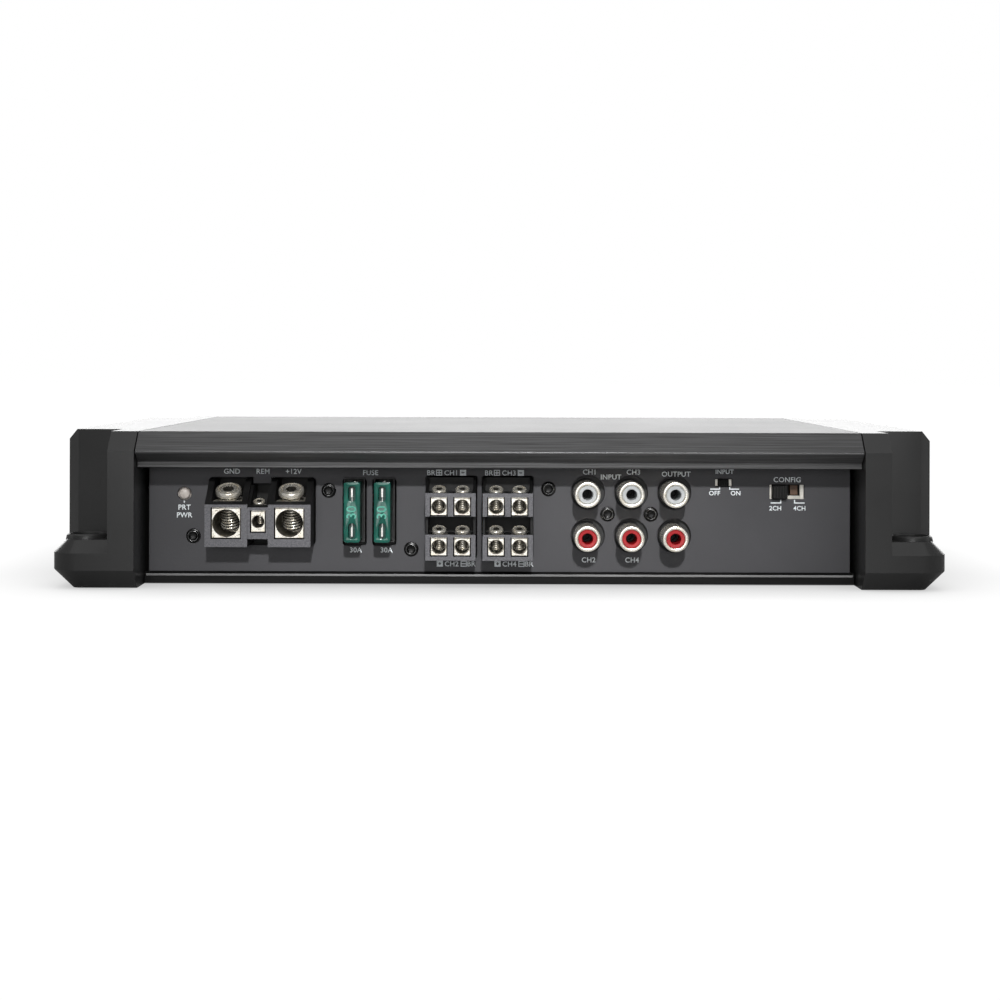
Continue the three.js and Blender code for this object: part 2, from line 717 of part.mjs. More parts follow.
function fuseSocket(x) {
  const w = fuseWidth / 2 + socketWall;
  const h = fuseHeight / 2 + socketWall;
  const shell = box(x - w, x + w, socketFront, socketFront + socketDepth, fuseZ - h, fuseZ + h);
  const foot = box(x - w, x + w, panelBack + 1, socketFront + socketDepth, seatZ, fuseZ);
  const pocket = box(
    x - fuseWidth / 2 - gap, x + fuseWidth / 2 + gap, socketFront - 1, fuseSeat + gap,
    fuseZ - fuseHeight / 2 - gap, fuseZ + fuseHeight / 2 + gap,
  );
  const slots = [-1, 1].map((side) => {
    const z = fuseZ + side * bladeSpread;
    return box(
      x - bladeThickness / 2 - gap, x + bladeThickness / 2 + gap, fuseSeat, fuseSeat + bladeLength + gap,
      z - bladeWidth / 2 - gap, z + bladeWidth / 2 + gap,
    );
  });
  return cut(join([shell, foot]), [pocket, ...slots]);
}

['left', 'right'].forEach((side, index) => {
  addPiece(`fuse_socket_${side}`, fuseSocket(fuseXs[index]), 'blackPlastic');
  addPiece(`fuse_${side}`, fuse(fuseXs[index]), 'fuseGreen');
});

// ---- Signal jacks ----------------------------------------------------------------------------

const jackFace = panelFace - jackReach;
const jackBlockFront = panelBack + gap;
const collarFace = panelFace - 1.4;

function jackBlock() {
  const left = jackXs[0] - 7;
  const right = jackXs[jackXs.length - 1] + 7;
  const top = jackZs[jackZs.length - 1] + 6;
  const parts = [box(left, right, jackBlockFront, jackBlockFront + jackBlockDepth, seatZ, top)];
  const bores = [];
  for (const x of jackXs) {
    for (const z of jackZs) {
      parts.push(rodAlongY(collarRadius, x, z, collarFace, jackBlockFront + 1, 12));
      parts.push(rodAlongY(insulatorRadius, x, z, jackFace + 0.5, collarFace + 1, 12));
      bores.push(rodAlongY(jackBore, x, z, jackFace, collarFace + 1, 8));
    }
  }
  for (const [x, z] of screwPlaces.slice(-2)) {
    bores.push(rodAlongY(screwHoleRadius, x, z, jackBlockFront - 1, jackBlockFront + 6, 6));
  }
  return cut(join(parts), bores);
}
addPiece('jack_block', jackBlock(), 'jackPlastic');

jackXs.forEach((x, column) => {
  jackZs.forEach((z, row) => {
    const tube = rodAlongY(sleeveRadius, x, z, jackFace, collarFace - gap, 14)
      .subtract(rodAlongY(sleeveBore, x, z, jackFace - 1, collarFace + 1, 14));
    addPiece(`jack_sleeve_${row === 0 ? 'lower' : 'upper'}_${column + 1}`, tube, 'nickel');
  });
});

// ---- Indicator -------------------------------------------------------------------------------

const led = join([
  rodAlongY(ledRadius, ledX, ledZ, panelFace - 0.6, panelBack + 4, 10),
  rodAlongY(ledRadius + 0.6, ledX, ledZ, panelBack + gap, panelBack + 1.3, 10),
]);
addPiece('status_led', led, 'lens');

// ---- Slide switches --------------------------------------------------------------------------

const switchDepth = 6.5;
const knobSink = 3;

function switchBody(slide, face, out) {
  const [w, h] = [slide.width / 2, slide.height / 2];
  const near = face + out * (panelThickness + gap);
  const far = near + out * switchDepth;
  const floor = near + out * (knobSink + gap);
  const [y0, y1] = [Math.min(near, far), Math.max(near, far)];
  const [s0, s1] = [Math.min(near - out, floor), Math.max(near - out, floor)];
  return box(slide.x - w - 1.8, slide.x + w + 1.8, y0, y1, slide.z - h - 1.2, slide.z + h + 1.2)
    .subtract(box(slide.x - w, slide.x + w, s0, s1, slide.z - h, slide.z + h));
}

function switchKnob(slide, x, face, out) {
  const near = face - out * slide.reach;
  const far = face + out * (panelThickness + gap + knobSink);
  const [w, h] = [slide.knob / 2, slide.height / 2 - gap];
  return box(x - w, x + w, Math.min(near, far), Math.max(near, far), slide.z - h, slide.z + h);
}

for (const [name, slide] of [['input_switch', inputSwitch], ['config_switch', configSwitch]]) {
  addPiece(`${name}_body`, switchBody(slide, panelFace, 1), 'blackPlastic');
  const left = slide.x - slide.width / 2 + gap + slide.knob / 2;
  addPiece(`${name}_knob`, switchKnob(slide, left, panelFace, 1), 'blackPlastic');
}

// ---- Controls on the far panel ---------------------------------------------------------------

filterSwitchXs.forEach((x, index) => {
  const slide = { ...filterSwitch, x, z: filterSwitchZ };
  addPiece(`filter_switch_knob_${index + 1}`, switchKnob(slide, x, -panelFace, -1), 'blackPlastic');
});

const knobShank = 4.2; // how deep a knob reaches behind the panel, to its dial
const dialSize = 10;

function controlBoard() {
  const dialFace = -panelBack - gap - knobShank;
  const boardFace = dialFace - 2.2;
  const reach = knobXs[knobXs.length - 1] + 34;
  const parts = [box(-reach, reach, boardFace - boardThickness, boardFace, seatZ, knobZ + 9)];
  const half = dialSize / 2;
  for (const x of knobXs) {
    parts.push(box(x - half, x + half, boardFace - 0.2, dialFace, knobZ - half, knobZ + half));
  }
  let board = join(parts);
  for (const x of filterSwitchXs) {
    board = board.add(switchBody({ ...filterSwitch, x, z: filterSwitchZ }, -panelFace, -1));
  }
  return board;
}
addPiece('control_board', controlBoard(), 'board');

const knobNames = ['gain_knob_1', 'crossover_knob_1', 'crossover_knob_2', 'gain_knob_2'];
knobXs.forEach((x, index) => {
  const outer = -panelFace + knobReach;
  const slot = knobRadius * 0.75;
  const knob = rodAlongY(knobRadius, x, knobZ, -panelBack - knobShank, outer, 14)
    .subtract(box(x - slot, x + slot, outer - 1.1, outer + 1, knobZ - 0.5, knobZ + 0.5));
  addPiece(knobNames[index], knob, 'blackPlastic');
});

export default amplifier;
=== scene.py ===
import math

import bmesh
import bpy
from mathutils import Matrix, Vector


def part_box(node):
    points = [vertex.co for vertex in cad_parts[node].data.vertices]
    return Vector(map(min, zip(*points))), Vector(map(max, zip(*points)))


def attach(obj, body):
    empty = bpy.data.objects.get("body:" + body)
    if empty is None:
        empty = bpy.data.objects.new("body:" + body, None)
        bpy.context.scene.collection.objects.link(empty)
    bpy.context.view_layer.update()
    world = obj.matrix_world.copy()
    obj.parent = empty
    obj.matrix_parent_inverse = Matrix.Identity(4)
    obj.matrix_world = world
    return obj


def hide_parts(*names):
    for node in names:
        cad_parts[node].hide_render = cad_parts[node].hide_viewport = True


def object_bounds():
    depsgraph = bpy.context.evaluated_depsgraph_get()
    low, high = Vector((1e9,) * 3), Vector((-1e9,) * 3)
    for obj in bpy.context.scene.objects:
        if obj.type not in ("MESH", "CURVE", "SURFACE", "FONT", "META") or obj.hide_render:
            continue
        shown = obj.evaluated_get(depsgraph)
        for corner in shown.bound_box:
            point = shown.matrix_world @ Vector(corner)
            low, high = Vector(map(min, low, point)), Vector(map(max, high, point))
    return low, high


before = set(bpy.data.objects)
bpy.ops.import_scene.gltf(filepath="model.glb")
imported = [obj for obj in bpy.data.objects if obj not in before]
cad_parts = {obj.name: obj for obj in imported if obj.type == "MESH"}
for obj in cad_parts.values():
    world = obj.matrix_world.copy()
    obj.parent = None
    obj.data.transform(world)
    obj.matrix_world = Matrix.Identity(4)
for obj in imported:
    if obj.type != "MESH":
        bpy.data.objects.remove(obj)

cad_low, cad_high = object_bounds()
MM = 0.001

# ---- Studio ----
# A pale floor, a soft light high in front of the terminals, a wide soft light over the top and
# a white surround. The camera stands level, a little above the amplifier, and looks at the terminals.
camera_data = bpy.data.cameras.new("camera")
camera_data.lens = 65.2
camera_data.sensor_width = 36
camera_data.shift_y = -0.134
camera_data.clip_start = 0.01
camera = bpy.data.objects.new("camera", camera_data)
camera_distance, camera_height = 566 * MM, 70.4 * MM
camera.location = (0, cad_low.y - camera_distance, camera_height)
camera.rotation_euler = (math.radians(90), math.radians(-0.17), 0)
bpy.context.collection.objects.link(camera)
bpy.context.scene.camera = camera
bpy.context.scene.view_settings.view_transform = "Standard"

world = bpy.data.worlds.new("surround")
world.use_nodes = True
surround = world.node_tree
light_path = surround.nodes.new("ShaderNodeLightPath")
brightness = surround.nodes.new("ShaderNodeMapRange")
brightness.inputs["To Min"].default_value = 0.24
brightness.inputs["To Max"].default_value = 1.0
surround.links.new(light_path.outputs["Is Camera Ray"], brightness.inputs["Value"])
surround.links.new(brightness.outputs["Result"], surround.nodes["Background"].inputs["Strength"])
surround.nodes["Background"].inputs["Color"].default_value = (1, 1, 1, 1)
bpy.context.scene.world = world


def aimed(name, data, place, target):
    light = bpy.data.objects.new(name, data)
    light.location = place
    light.rotation_euler = (Vector(target) - Vector(place)).to_track_quat("-Z", "Y").to_euler()
    bpy.context.collection.objects.link(light)


def soft_light(name, place, target, width, height, watts):
    data = bpy.data.lights.new(name, "AREA")
    data.shape = "RECTANGLE"
    data.size = width
    data.size_y = height
    data.energy = watts
    aimed(name, data, place, target)


soft_light("front_card", (-0.1, -1.7, 0.2), (0, -0.08, 0.03), 0.8, 0.5, 4)
for side in (-1, 1):
    soft_light(f"side_light_{side}", (1.5 * side, -0.1, 0.35), (0, 0, 0.03), 0.8, 0.8, 0.9)
soft_light("top_light", (0, 0.1, 1.3), (0, 0, 0), 1.6, 1.2, 4)
soft_light("back_light", (0, 2.6, 0.55), (0, 0, 0.1), 4.2, 1.3, 46)

key_data = bpy.data.lights.new("key_light", "SPOT")
key_data.energy = 72
key_data.spot_size = math.radians(13.6)
key_data.spot_blend = 1.0
key_data.shadow_soft_size = 35 * MM
aimed("key_light", key_data, (0.055, -1.3, 0.66), (0, -0.08, 0.02))

# For the camera the floor glows, darker near the amplifier by ambient occlusion: a painted contact shadow. Other
# rays see a dim grey floor.
floor_mesh = bpy.data.meshes.new("floor")
floor_mesh.from_pydata([(-6, -6, 0), (6, -6, 0), (6, 6, 0), (-6, 6, 0)], [], [(0, 1, 2, 3)])
floor = bpy.data.objects.new("floor", floor_mesh)
bpy.context.collection.objects.link(floor)
white_floor = bpy.data.materials.new("white_floor")
white_floor.use_nodes = True
floor_tree = white_floor.node_tree
contact, tone, glow, dim, which, floor_path = (floor_tree.nodes.new(f"ShaderNode{kind}") for kind in (
    "AmbientOcclusion", "MapRange", "Emission", "BsdfDiffuse", "MixShader", "LightPath",
))
contact.inputs["Distance"].default_value = 45 * MM
tone.inputs["To Min"].default_value = 0.45
tone.inputs["To Max"].default_value = 1.03
dim.inputs["Color"].default_value = (0.52, 0.52, 0.52, 1)
for source, target in (
    (contact.outputs["AO"], tone.inputs["Value"]), (tone.outputs[0], glow.inputs["Strength"]),
    (floor_path.outputs["Is Camera Ray"], which.inputs[0]), (dim.outputs[0], which.inputs[1]),
    (glow.outputs[0], which.inputs[2]),
    (which.outputs[0], floor_tree.nodes["Material Output"].inputs["Surface"]),
):
    floor_tree.links.new(source, target)
floor_mesh.materials.append(white_floor)


# ---- Heatsink ----
# A black anodised aluminium extrusion, sawn to length. Its 45-degree edges are brushed after
# anodising, so fine streaks run along them; a thin lip under each edge hangs over the panels.
class Wire:
    """A socket of a material's node tree that joins others through Python's operators."""

    def __init__(self, tree, socket=None):
        self.tree = tree
        self.socket = socket

    def feed(self, socket, value):
        if isinstance(value, Wire):
            self.tree.links.new(value.socket, socket)
        else:
            socket.default_value = value

    def node(self, kind, settings, sockets, output=0):
        """Any node: its settings first, then the values or links of its sockets."""
        made = self.tree.nodes.new(kind)
        for name, value in settings.items():
            setattr(made, name, value)
        for name, value in sockets.items():
            self.feed(made.inputs[name], value)
        return Wire(self.tree, made.outputs[output])

    def math(self, operation, first, second=0.0):
        return self.node("ShaderNodeMath", {"operation": operation}, {0: first, 1: second})

    def __add__(self, other):
        return self.math("ADD", self, other)

    __radd__ = __add__

    def __mul__(self, other):
        return self.math("MULTIPLY", self, other)

    __rmul__ = __mul__

    def over(self, low, high):
        """1 where the value is above high, 0 below low."""
        return self.node(
            "ShaderNodeMapRange", {"clamp": True}, {"Value": self, "From Min": low, "From Max": high}
        )

    def mix(self, first, second):
        """Goes from the first colour to the second as this value goes from 0 to 1."""
        blend = {"data_type": "RGBA", "clamp_factor": True}
        return self.node("ShaderNodeMix", blend, {0: self, 6: first, 7: second}, output=2)


class Finish:
    """A material with one Principled shader, its object coordinates and its noises."""

    def __init__(self, name, **constants):
        self.material = bpy.data.materials.new(name)
        self.material.use_nodes = True
        tree = self.material.node_tree
        self.shader = tree.nodes["Principled BSDF"]
        self.wire = Wire(tree)
        self.coordinates = self.wire.node("ShaderNodeTexCoord", {}, {}, output="Object")
        for socket, value in constants.items():
            self.set(socket.replace("_", " "), value)

    def set(self, socket, value):
        self.wire.feed(self.shader.inputs[socket], value)

    def noise(self, scale, detail=3.0, stretch=None):
        place = self.coordinates
        if stretch:
            place = self.wire.node("ShaderNodeMapping", {}, {"Vector": place, "Scale": stretch})
        return self.wire.node("ShaderNodeTexNoise", {}, {"Vector": place, "Scale": scale, "Detail": detail})

    def bump(self, height, distance, strength=1.0):
        self.set("Normal", self.wire.node("ShaderNodeBump", {}, {
            "Height": height, "Distance": distance, "Strength": strength,
        }))


def grey(value, tint=(1, 1, 1)):
    return (value * tint[0], value * tint[1], value * tint[2], 1)


anodised = Finish("brushed_black_anodising", Metallic=0.55, Specular_IOR_Level=0.5)
fine_streaks = anodised.noise(1.0, 3, (55, 9000, 9000))
long_streaks = anodised.noise(1.0, 3, (14, 3600, 3600))
brushing = fine_streaks * 0.55 + long_streaks * 0.45
cloud = anodised.noise(22, 3)
anodised.set("Base Color", brushing.over(0.38, 0.62).mix(grey(0.042), grey(0.118, (1, 1, 1.02))))
anodised.set("Roughness", 0.28 + 0.2 * brushing + 0.06 * cloud)
anodised.bump(brushing, 0.00005, 0.6)


def poured(shape, mesh):
    """Moves a finished bmesh into a mesh."""
    shape.to_mesh(mesh)
    shape.free()
    return mesh


def joined_copy(node):
    """A CAD node's mesh with its loose triangles joined and its flat faces made whole."""
    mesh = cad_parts[node].data.copy()
    mesh.materials.clear()
    shape = bmesh.new()
    shape.from_mesh(mesh)
    bmesh.ops.remove_doubles(shape, verts=shape.verts, dist=0.002 * MM)
    bmesh.ops.dissolve_limit(shape, angle_limit=math.radians(0.5), verts=shape.verts, edges=shape.edges)
    return poured(shape, mesh)


def show(piece, slot, *nodes, body="amplifier"):
    """Puts a finished piece on its body, in place of the CAD nodes it stands for."""
    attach(piece, body)
    if nodes:
        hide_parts(*nodes)


def smooth(mesh, angle=35):
    mesh.shade_smooth()
    mesh.set_sharp_from_angle(angle=math.radians(angle))


def add_object(name, mesh, material=None):
    mesh.name = name
    if material:
        mesh.materials.append(material)
    made = bpy.data.objects.new(name, mesh)
    bpy.context.collection.objects.link(made)
    return made


def settled(piece):
    """Applies a piece's modifiers to its mesh."""
    graph = bpy.context.evaluated_depsgraph_get()
    mesh = bpy.data.meshes.new_from_object(piece.evaluated_get(graph))
    piece.modifiers.clear()
    old = piece.data
    piece.data = mesh
    bpy.data.meshes.remove(old)


def edged(piece, width, segments=2, angle=30):
    """Rounds a piece's hard edges."""
    smooth(piece.data, 30)
    bevel = piece.modifiers.new("edges", "BEVEL")
    bevel.width = width
    bevel.segments = segments
    bevel.limit_method = "ANGLE"
    bevel.angle_limit = math.radians(angle)
    bevel.harden_normals = True
    settled(piece)


def dressed_solid(name, node, material, slot, width, segments=2, angle=30):
    """A CAD node with rounded edges and a finish."""
    piece = add_object(name, joined_copy(node), material)
    edged(piece, width, segments, angle)
    show(piece, slot, node)


dressed_solid("heatsink", "heatsink_shell", anodised.material, "anodised_black", 0.18 * MM)

# ---- End caps ----
# Injection-moulded black covers with a fine spark-eroded grain, one at each end of the extrusion.
# Every outer edge is slightly rounded, and each corner carries a foot with a slotted screw seat.
moulded = Finish(
    "grained_black_moulding", Specular_IOR_Level=0.3, Coat_Weight=0.45, Coat_Roughness=0.2, Coat_IOR=1.45,
)
grain = moulded.noise(2600, 2)
patches = moulded.noise(45, 4)
moulded.set("Base Color", patches.over(0.3, 0.7).mix(grey(0.02), grey(0.028)))
moulded.set("Roughness", 0.45 + 0.1 * patches + 0.06 * grain)
moulded.bump(grain, 0.00003, 0.25)

for side in ("left", "right"):
    node = f"end_cap_{side}"
    dressed_solid(f"{node}_shell", node, moulded.material, "moulded_black", 0.4 * MM, 3, 24)

# A raised ring stands round each slot's screw seat on the feet.
cap_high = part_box("end_cap_right")[1]
slot_x, slot_y = cap_high.x - 9.5 * MM, cap_high.y - 12 * MM
seat_height, foot_height = 14.3 * MM, 15.3 * MM
seat_radius = 5 * MM
ring_profile = [
    (seat_radius, seat_height), (seat_radius, foot_height + 1.1 * MM),
    (seat_radius + 0.3 * MM, foot_height + 1.5 * MM),
    (seat_radius + 0.9 * MM, foot_height + 1.5 * MM), (seat_radius + 1.4 * MM, foot_height + 1.1 * MM),
    (seat_radius + 1.7 * MM, foot_height - 0.2 * MM), (seat_radius + 1.7 * MM, seat_height),
]
for side, sign in (("left", -1), ("right", 1)):
    shape = bmesh.new()
    for end in (-1, 1):
        rows = []
        for step in range(48):
            angle = 2 * math.pi * step / 48
            rows.append([
                shape.verts.new((
                    sign * slot_x + radius * math.cos(angle), end * slot_y + radius * math.sin(angle), height,
                )) for radius, height in ring_profile
            ])
        for row, following in zip(rows, rows[1:] + rows[:1]):
            for i in range(len(row)):
                j = (i + 1) % len(row)
                shape.faces.new((row[i], following[i], following[j], row[j]))
    bmesh.ops.recalc_face_normals(shape, faces=shape.faces)
    rims_mesh = poured(shape, bpy.data.meshes.new(f"foot_seat_rims_{side}"))
    smooth(rims_mesh)
    show(add_object(f"foot_seat_rims_{side}", rims_mesh, moulded.material), "moulded_black")

# ---- Base plate ----
# Folded steel sheet, painted satin black. The top edge of its front and back lips catches the light,
# and a thin pale strip along each lip stands for that as a painted highlight.
base_paint = Finish("gloss_black_steel", Specular_IOR_Level=0.2)
scuffs = base_paint.noise(1.0, 5, (60, 900, 900))
base_paint.set("Base Color", scuffs.over(0.45, 0.75).mix(grey(0.003), grey(0.006)))
base_paint.set("Roughness", 0.28 + 0.1 * scuffs)
base_paint.bump(scuffs, 0.00003, 0.2)
base = add_object("base_tray", joined_copy("base_plate"), base_paint.material)
shoulder_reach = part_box("base_plate")[1].y - 0.3 * MM
fold_height, lip_height = 1.5 * MM, 3.4 * MM
for point in base.data.vertices:
    if abs(point.co.y) > shoulder_reach and point.co.z > fold_height:
        point.co.z = lip_height


def mottled(name, scale, detail, dark, light, dull=None, uneven=0.2, low=0.3, high=0.7, stretch=None, **constants):
    """A finish whose colour, and roughness where dull is given, follow one noise."""
    made = Finish(name, **constants)
    mottle = made.noise(scale, detail, stretch)
    made.set("Base Color", mottle.over(low, high).mix(dark, light))
    if dull is not None:
        made.set("Roughness", dull + uneven * mottle)
    return made.material


# A paler paint for the strips along the lips' top edges: a painted highlight.
lip_highlight_paint = mottled(
    "rubbed_lip_edge", 1.0, 4, grey(0.16), grey(0.24), low=0.35, high=0.75, stretch=(40, 900, 900),
    Specular_IOR_Level=0.5, Roughness=0.35,
)
edged(base, 0.15 * MM)
show(base, "base_steel", "base_plate")


def upright_box(shape, low, high):
    size = Matrix.Diagonal((high[0] - low[0], high[1] - low[1], high[2] - low[2], 1))
    middle = Matrix.Translation([(a + b) / 2 for a, b in zip(low, high)])
    bmesh.ops.create_cube(shape, size=1, matrix=middle @ size)


def box_piece(name, boxes, material, bevel=0.0):
    """One piece of upright boxes, each given by its low and high corner, with rounded edges."""
    shape = bmesh.new()
    for low, high in boxes:
        upright_box(shape, low, high)
    piece = add_object(name, poured(shape, bpy.data.meshes.new(name)), material)
    if bevel:
        edged(piece, bevel)
    return piece


# Thin pale strips along the top of each lip carry that painted highlight.
tray_low, tray_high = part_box("base_plate")
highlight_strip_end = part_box("terminal_panel")[1].x - 0.5 * MM
lip_highlight_strips = box_piece("base_lip_hems", [
    ((-highlight_strip_end, tray_low.y - 0.1 * MM, 2.75 * MM), (highlight_strip_end, tray_low.y + 0.4 * MM, 3.45 * MM)),
    ((-highlight_strip_end, tray_high.y - 0.4 * MM, 2.75 * MM), (highlight_strip_end, tray_high.y + 0.1 * MM, 3.45 * MM)),
], lip_highlight_paint, 0.12 * MM)
show(lip_highlight_strips, "base_steel")

# ---- Terminal panel ----
# Punched sheet steel with a satin dark grey paint, held in grooves of the heatsink and the base.
# Its windows follow the blocks that stand through it, with a little room all round.
paint = Finish("satin_grey_paint", Metallic=0.15)
speckle = paint.noise(1900, 2)
blotches = paint.noise(38, 4)
cool = (0.99, 0.98, 1.07)
paint.set("Base Color", blotches.over(0.3, 0.72).mix(grey(0.045, cool), grey(0.055, cool)))
paint.set("Roughness", 0.44 + 0.1 * speckle + 0.06 * blotches)
paint.bump(speckle, 0.00004, 0.3)


def arc(x, z, radius, start, end, steps):
    turn = (end - start) / steps
    angles = [math.radians(start + turn * step) for step in range(steps + 1)]
    return [(x + radius * math.cos(a), z + radius * math.sin(a)) for a in angles]


def round_hole(x, z, radius, steps=48):
    return arc(x, z, radius, 0, 360 - 360 / steps, steps - 1)


def window(low_x, high_x, low_z, high_z, radius, steps=9):
    return (
        arc(high_x - radius, high_z - radius, radius, 0, 90, steps)
        + arc(low_x + radius, high_z - radius, radius, 90, 180, steps)
        + arc(low_x + radius, low_z + radius, radius, 180, 270, steps)
        + arc(high_x - radius, low_z + radius, radius, 270, 360, steps)
    )


def facing(outward, y):
    """Turns a flat shape so that its front looks along -Y (outward = -1) or +Y (1) at depth y."""
    turn = Matrix.Rotation(math.radians(90), 4, "X")
    if outward > 0:
        turn = Matrix.Rotation(math.radians(180), 4, "Z") @ turn
    return Matrix.Translation((0, y, 0)) @ turn


def mesh_of(curve):
    """Turns a curve or a text into a mesh."""
    holder = bpy.data.objects.new(curve.name, curve)
    bpy.context.collection.objects.link(holder)
    graph = bpy.context.evaluated_depsgraph_get()
    mesh = bpy.data.meshes.new_from_object(holder.evaluated_get(graph))
    bpy.data.objects.remove(holder)
    bpy.data.curves.remove(curve)
    return mesh


def flat_sheet(name, outlines, thickness, edge, place):
    """A sheet with rounded-over edges: the first outline is its rim, the others are holes in it."""
    curve = bpy.data.curves.new(name, "CURVE")
    curve.dimensions = "2D"
    curve.fill_mode = "BOTH"
    curve.extrude = thickness / 2 - edge
    curve.bevel_depth = edge
    curve.bevel_resolution = 1
    curve.offset = -edge
    for outline in outlines:
        spline = curve.splines.new("POLY")
        spline.points.add(len(outline) - 1)
        spline.use_cyclic_u = True
        for point, (x, z) in zip(spline.points, outline):
            point.co = (x, z, 0, 1)
    mesh = mesh_of(curve)
    mesh.transform(place)
    shape = bmesh.new()
    shape.from_mesh(mesh)
    bmesh.ops.remove_doubles(shape, verts=shape.verts, dist=0.001 * MM)
    bmesh.ops.recalc_face_normals(shape, faces=shape.faces)
    smooth(poured(shape, mesh), 12)
    return mesh


def centre_of(node):
    low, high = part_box(node)
    return (low + high) / 2


panel_low, panel_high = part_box("terminal_panel")
panel_face = panel_low.y
panel_middle = (panel_low.y + panel_high.y) / 2
panel_thickness = panel_high.y - panel_low.y
room = 0.4 * MM
side_gap = 1.2 * MM
panel_holes = [window(panel_low.x + side_gap, panel_high.x - side_gap, panel_low.z, panel_high.z, 0.5 * MM)]

block_low, block_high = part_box("power_terminal_block")
bridge_low, bridge_high = -79.4 * MM, -73.4 * MM
bridge_drop = 2 * MM
corner = 1.2 * MM
power_window = window(block_low.x - room, block_high.x + room, 12.6 * MM, block_high.z + room, corner)
top = block_high.z + room
notch = [
    (bridge_high, top), (bridge_high, top - bridge_drop), (bridge_low, top - bridge_drop), (bridge_low, top),
]
panel_holes.append(power_window[:10] + notch + power_window[10:])
for letter in "ab":
    low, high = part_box(f"speaker_block_{letter}")
    close = 0.25 * MM
    panel_holes.append(window(low.x - close, high.x + close, low.z - room, high.z + room, 0.8 * MM))
fuse_heights = (centre_of("fuse_left").z - 11.5 * MM, centre_of("fuse_left").z + 9.9 * MM)
for side in ("left", "right"):
    low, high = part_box(f"fuse_socket_{side}")
    panel_holes.append(window(low.x - room, high.x + room, *fuse_heights, 0.9 * MM))
jack_hole_radius = 5.4 * MM
jack_hole_shift = 0.6 * MM
for row in ("lower", "upper"):
    for column in (1, 2, 3):
        jack = centre_of(f"jack_sleeve_{row}_{column}")
        panel_holes.append(round_hole(jack.x + jack_hole_shift, jack.z, jack_hole_radius))
for switch in ("input", "config"):
    low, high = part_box(f"{switch}_switch_body")
    panel_holes.append(window(low.x + 1.8 * MM, high.x - 1.8 * MM, low.z + 1.2 * MM, high.z - 1.2 * MM, 0.25 * MM))
light_place = centre_of("status_led")
panel_holes.append(round_hole(light_place.x, light_place.z, 2.2 * MM))
terminal_panel = add_object("terminal_panel_sheet", flat_sheet(
    "terminal_panel_sheet", panel_holes, panel_thickness, 0.2 * MM, facing(-1, panel_middle),
), paint.material)
show(terminal_panel, "panel_black", "terminal_panel")

# ---- Panel lettering ----
# Screen-printed in off-white ink on the panel: plain function words, polarity marks, and the
# bracket lines from a switch's ends to the words under them.
ink = mottled(
    "off_white_ink", 1400, 3, grey(0.78, (0.95, 1, 1.02)), grey(0.92, (0.95, 1, 1.02)), 0.55, 0.15, high=0.6,
    Specular_IOR_Level=0.3,
)
INK_DEPTH = 0.02 * MM
STROKE_WEIGHT = 0.028 * MM
CAP_SHARE = 0.72  # a capital's height in the typeface's size


def text_mesh(text, size, depth, **settings):
    curve = bpy.data.curves.new("word", "FONT")
    curve.body = text
    curve.align_x = "CENTER"
    curve.size = size
    curve.extrude = depth / 2
    for name, value in settings.items():
        setattr(curve, name, value)
    return mesh_of(curve)


class Print:
    """Collects words and strokes in a panel's plane, in millimetres, then makes them one piece."""

    def __init__(self, place):
        self.shape = bmesh.new()
        self.place = place

    def word(self, text, x, z, cap=1.65):
        mesh = text_mesh(
            text, cap * MM / CAP_SHARE, INK_DEPTH, space_character=1.05, offset=STROKE_WEIGHT, resolution_u=3,
        )
        centre = Matrix.Translation((x * MM, z * MM, 0)) @ Matrix.Translation((0, -cap * MM / 2, 0))
        mesh.transform(self.place @ centre)
        self.shape.from_mesh(mesh)
        bpy.data.meshes.remove(mesh)

    def stroke(self, low_x, high_x, low_z, high_z):
        size = Matrix.Diagonal(((high_x - low_x) * MM, (high_z - low_z) * MM, INK_DEPTH, 1))
        middle = Matrix.Translation(((low_x + high_x) / 2 * MM, (low_z + high_z) / 2 * MM, 0))
        bmesh.ops.create_cube(self.shape, size=1, matrix=self.place @ middle @ size)

    def frame(self, x, z, width, height, line):
        self.stroke(x - width / 2, x + width / 2, z + height / 2 - line, z + height / 2)
        self.stroke(x - width / 2, x + width / 2, z - height / 2, z - height / 2 + line)
        self.stroke(x - width / 2, x - width / 2 + line, z - height / 2 + line, z + height / 2 - line)
        self.stroke(x + width / 2 - line, x + width / 2, z - height / 2 + line, z + height / 2 - line)

    def polarity(self, x, z, positive, solid=False):
        """A plus or minus mark in a frame, or left blank in a solid square."""
        if solid:
            self.frame(x, z, 2, 1.9, 0.5)
            spans = ((-0.5, -0.17), (0.17, 0.5)) if positive else ((-0.5, 0.5),)
            for low in (z - 0.45, z + 0.15):
                for left, right in spans:
                    self.stroke(x + left, x + right, low, low + 0.3)
            return
        self.frame(x, z, 2, 1.9, 0.3)
        self.stroke(x - 0.65, x + 0.65, z - 0.15, z + 0.15)
        if positive:
            self.stroke(x - 0.15, x + 0.15, z + 0.15, z + 0.6)
            self.stroke(x - 0.15, x + 0.15, z - 0.6, z - 0.15)

    def bracket(self, x, z, toward, length=2.6, rise=0.9):
        """A line under one end of a switch that turns up at its inner end."""
        line = 0.34
        low, high = sorted((x, x + toward * length))
        self.stroke(low, high, z, z + line)
        inner = (high - line, high) if toward < 0 else (low, low + line)
        self.stroke(*inner, z + line, z + rise)

    def piece(self, name):
        show(add_object(name, poured(self.shape, bpy.data.meshes.new(name)), ink), "panel_black")


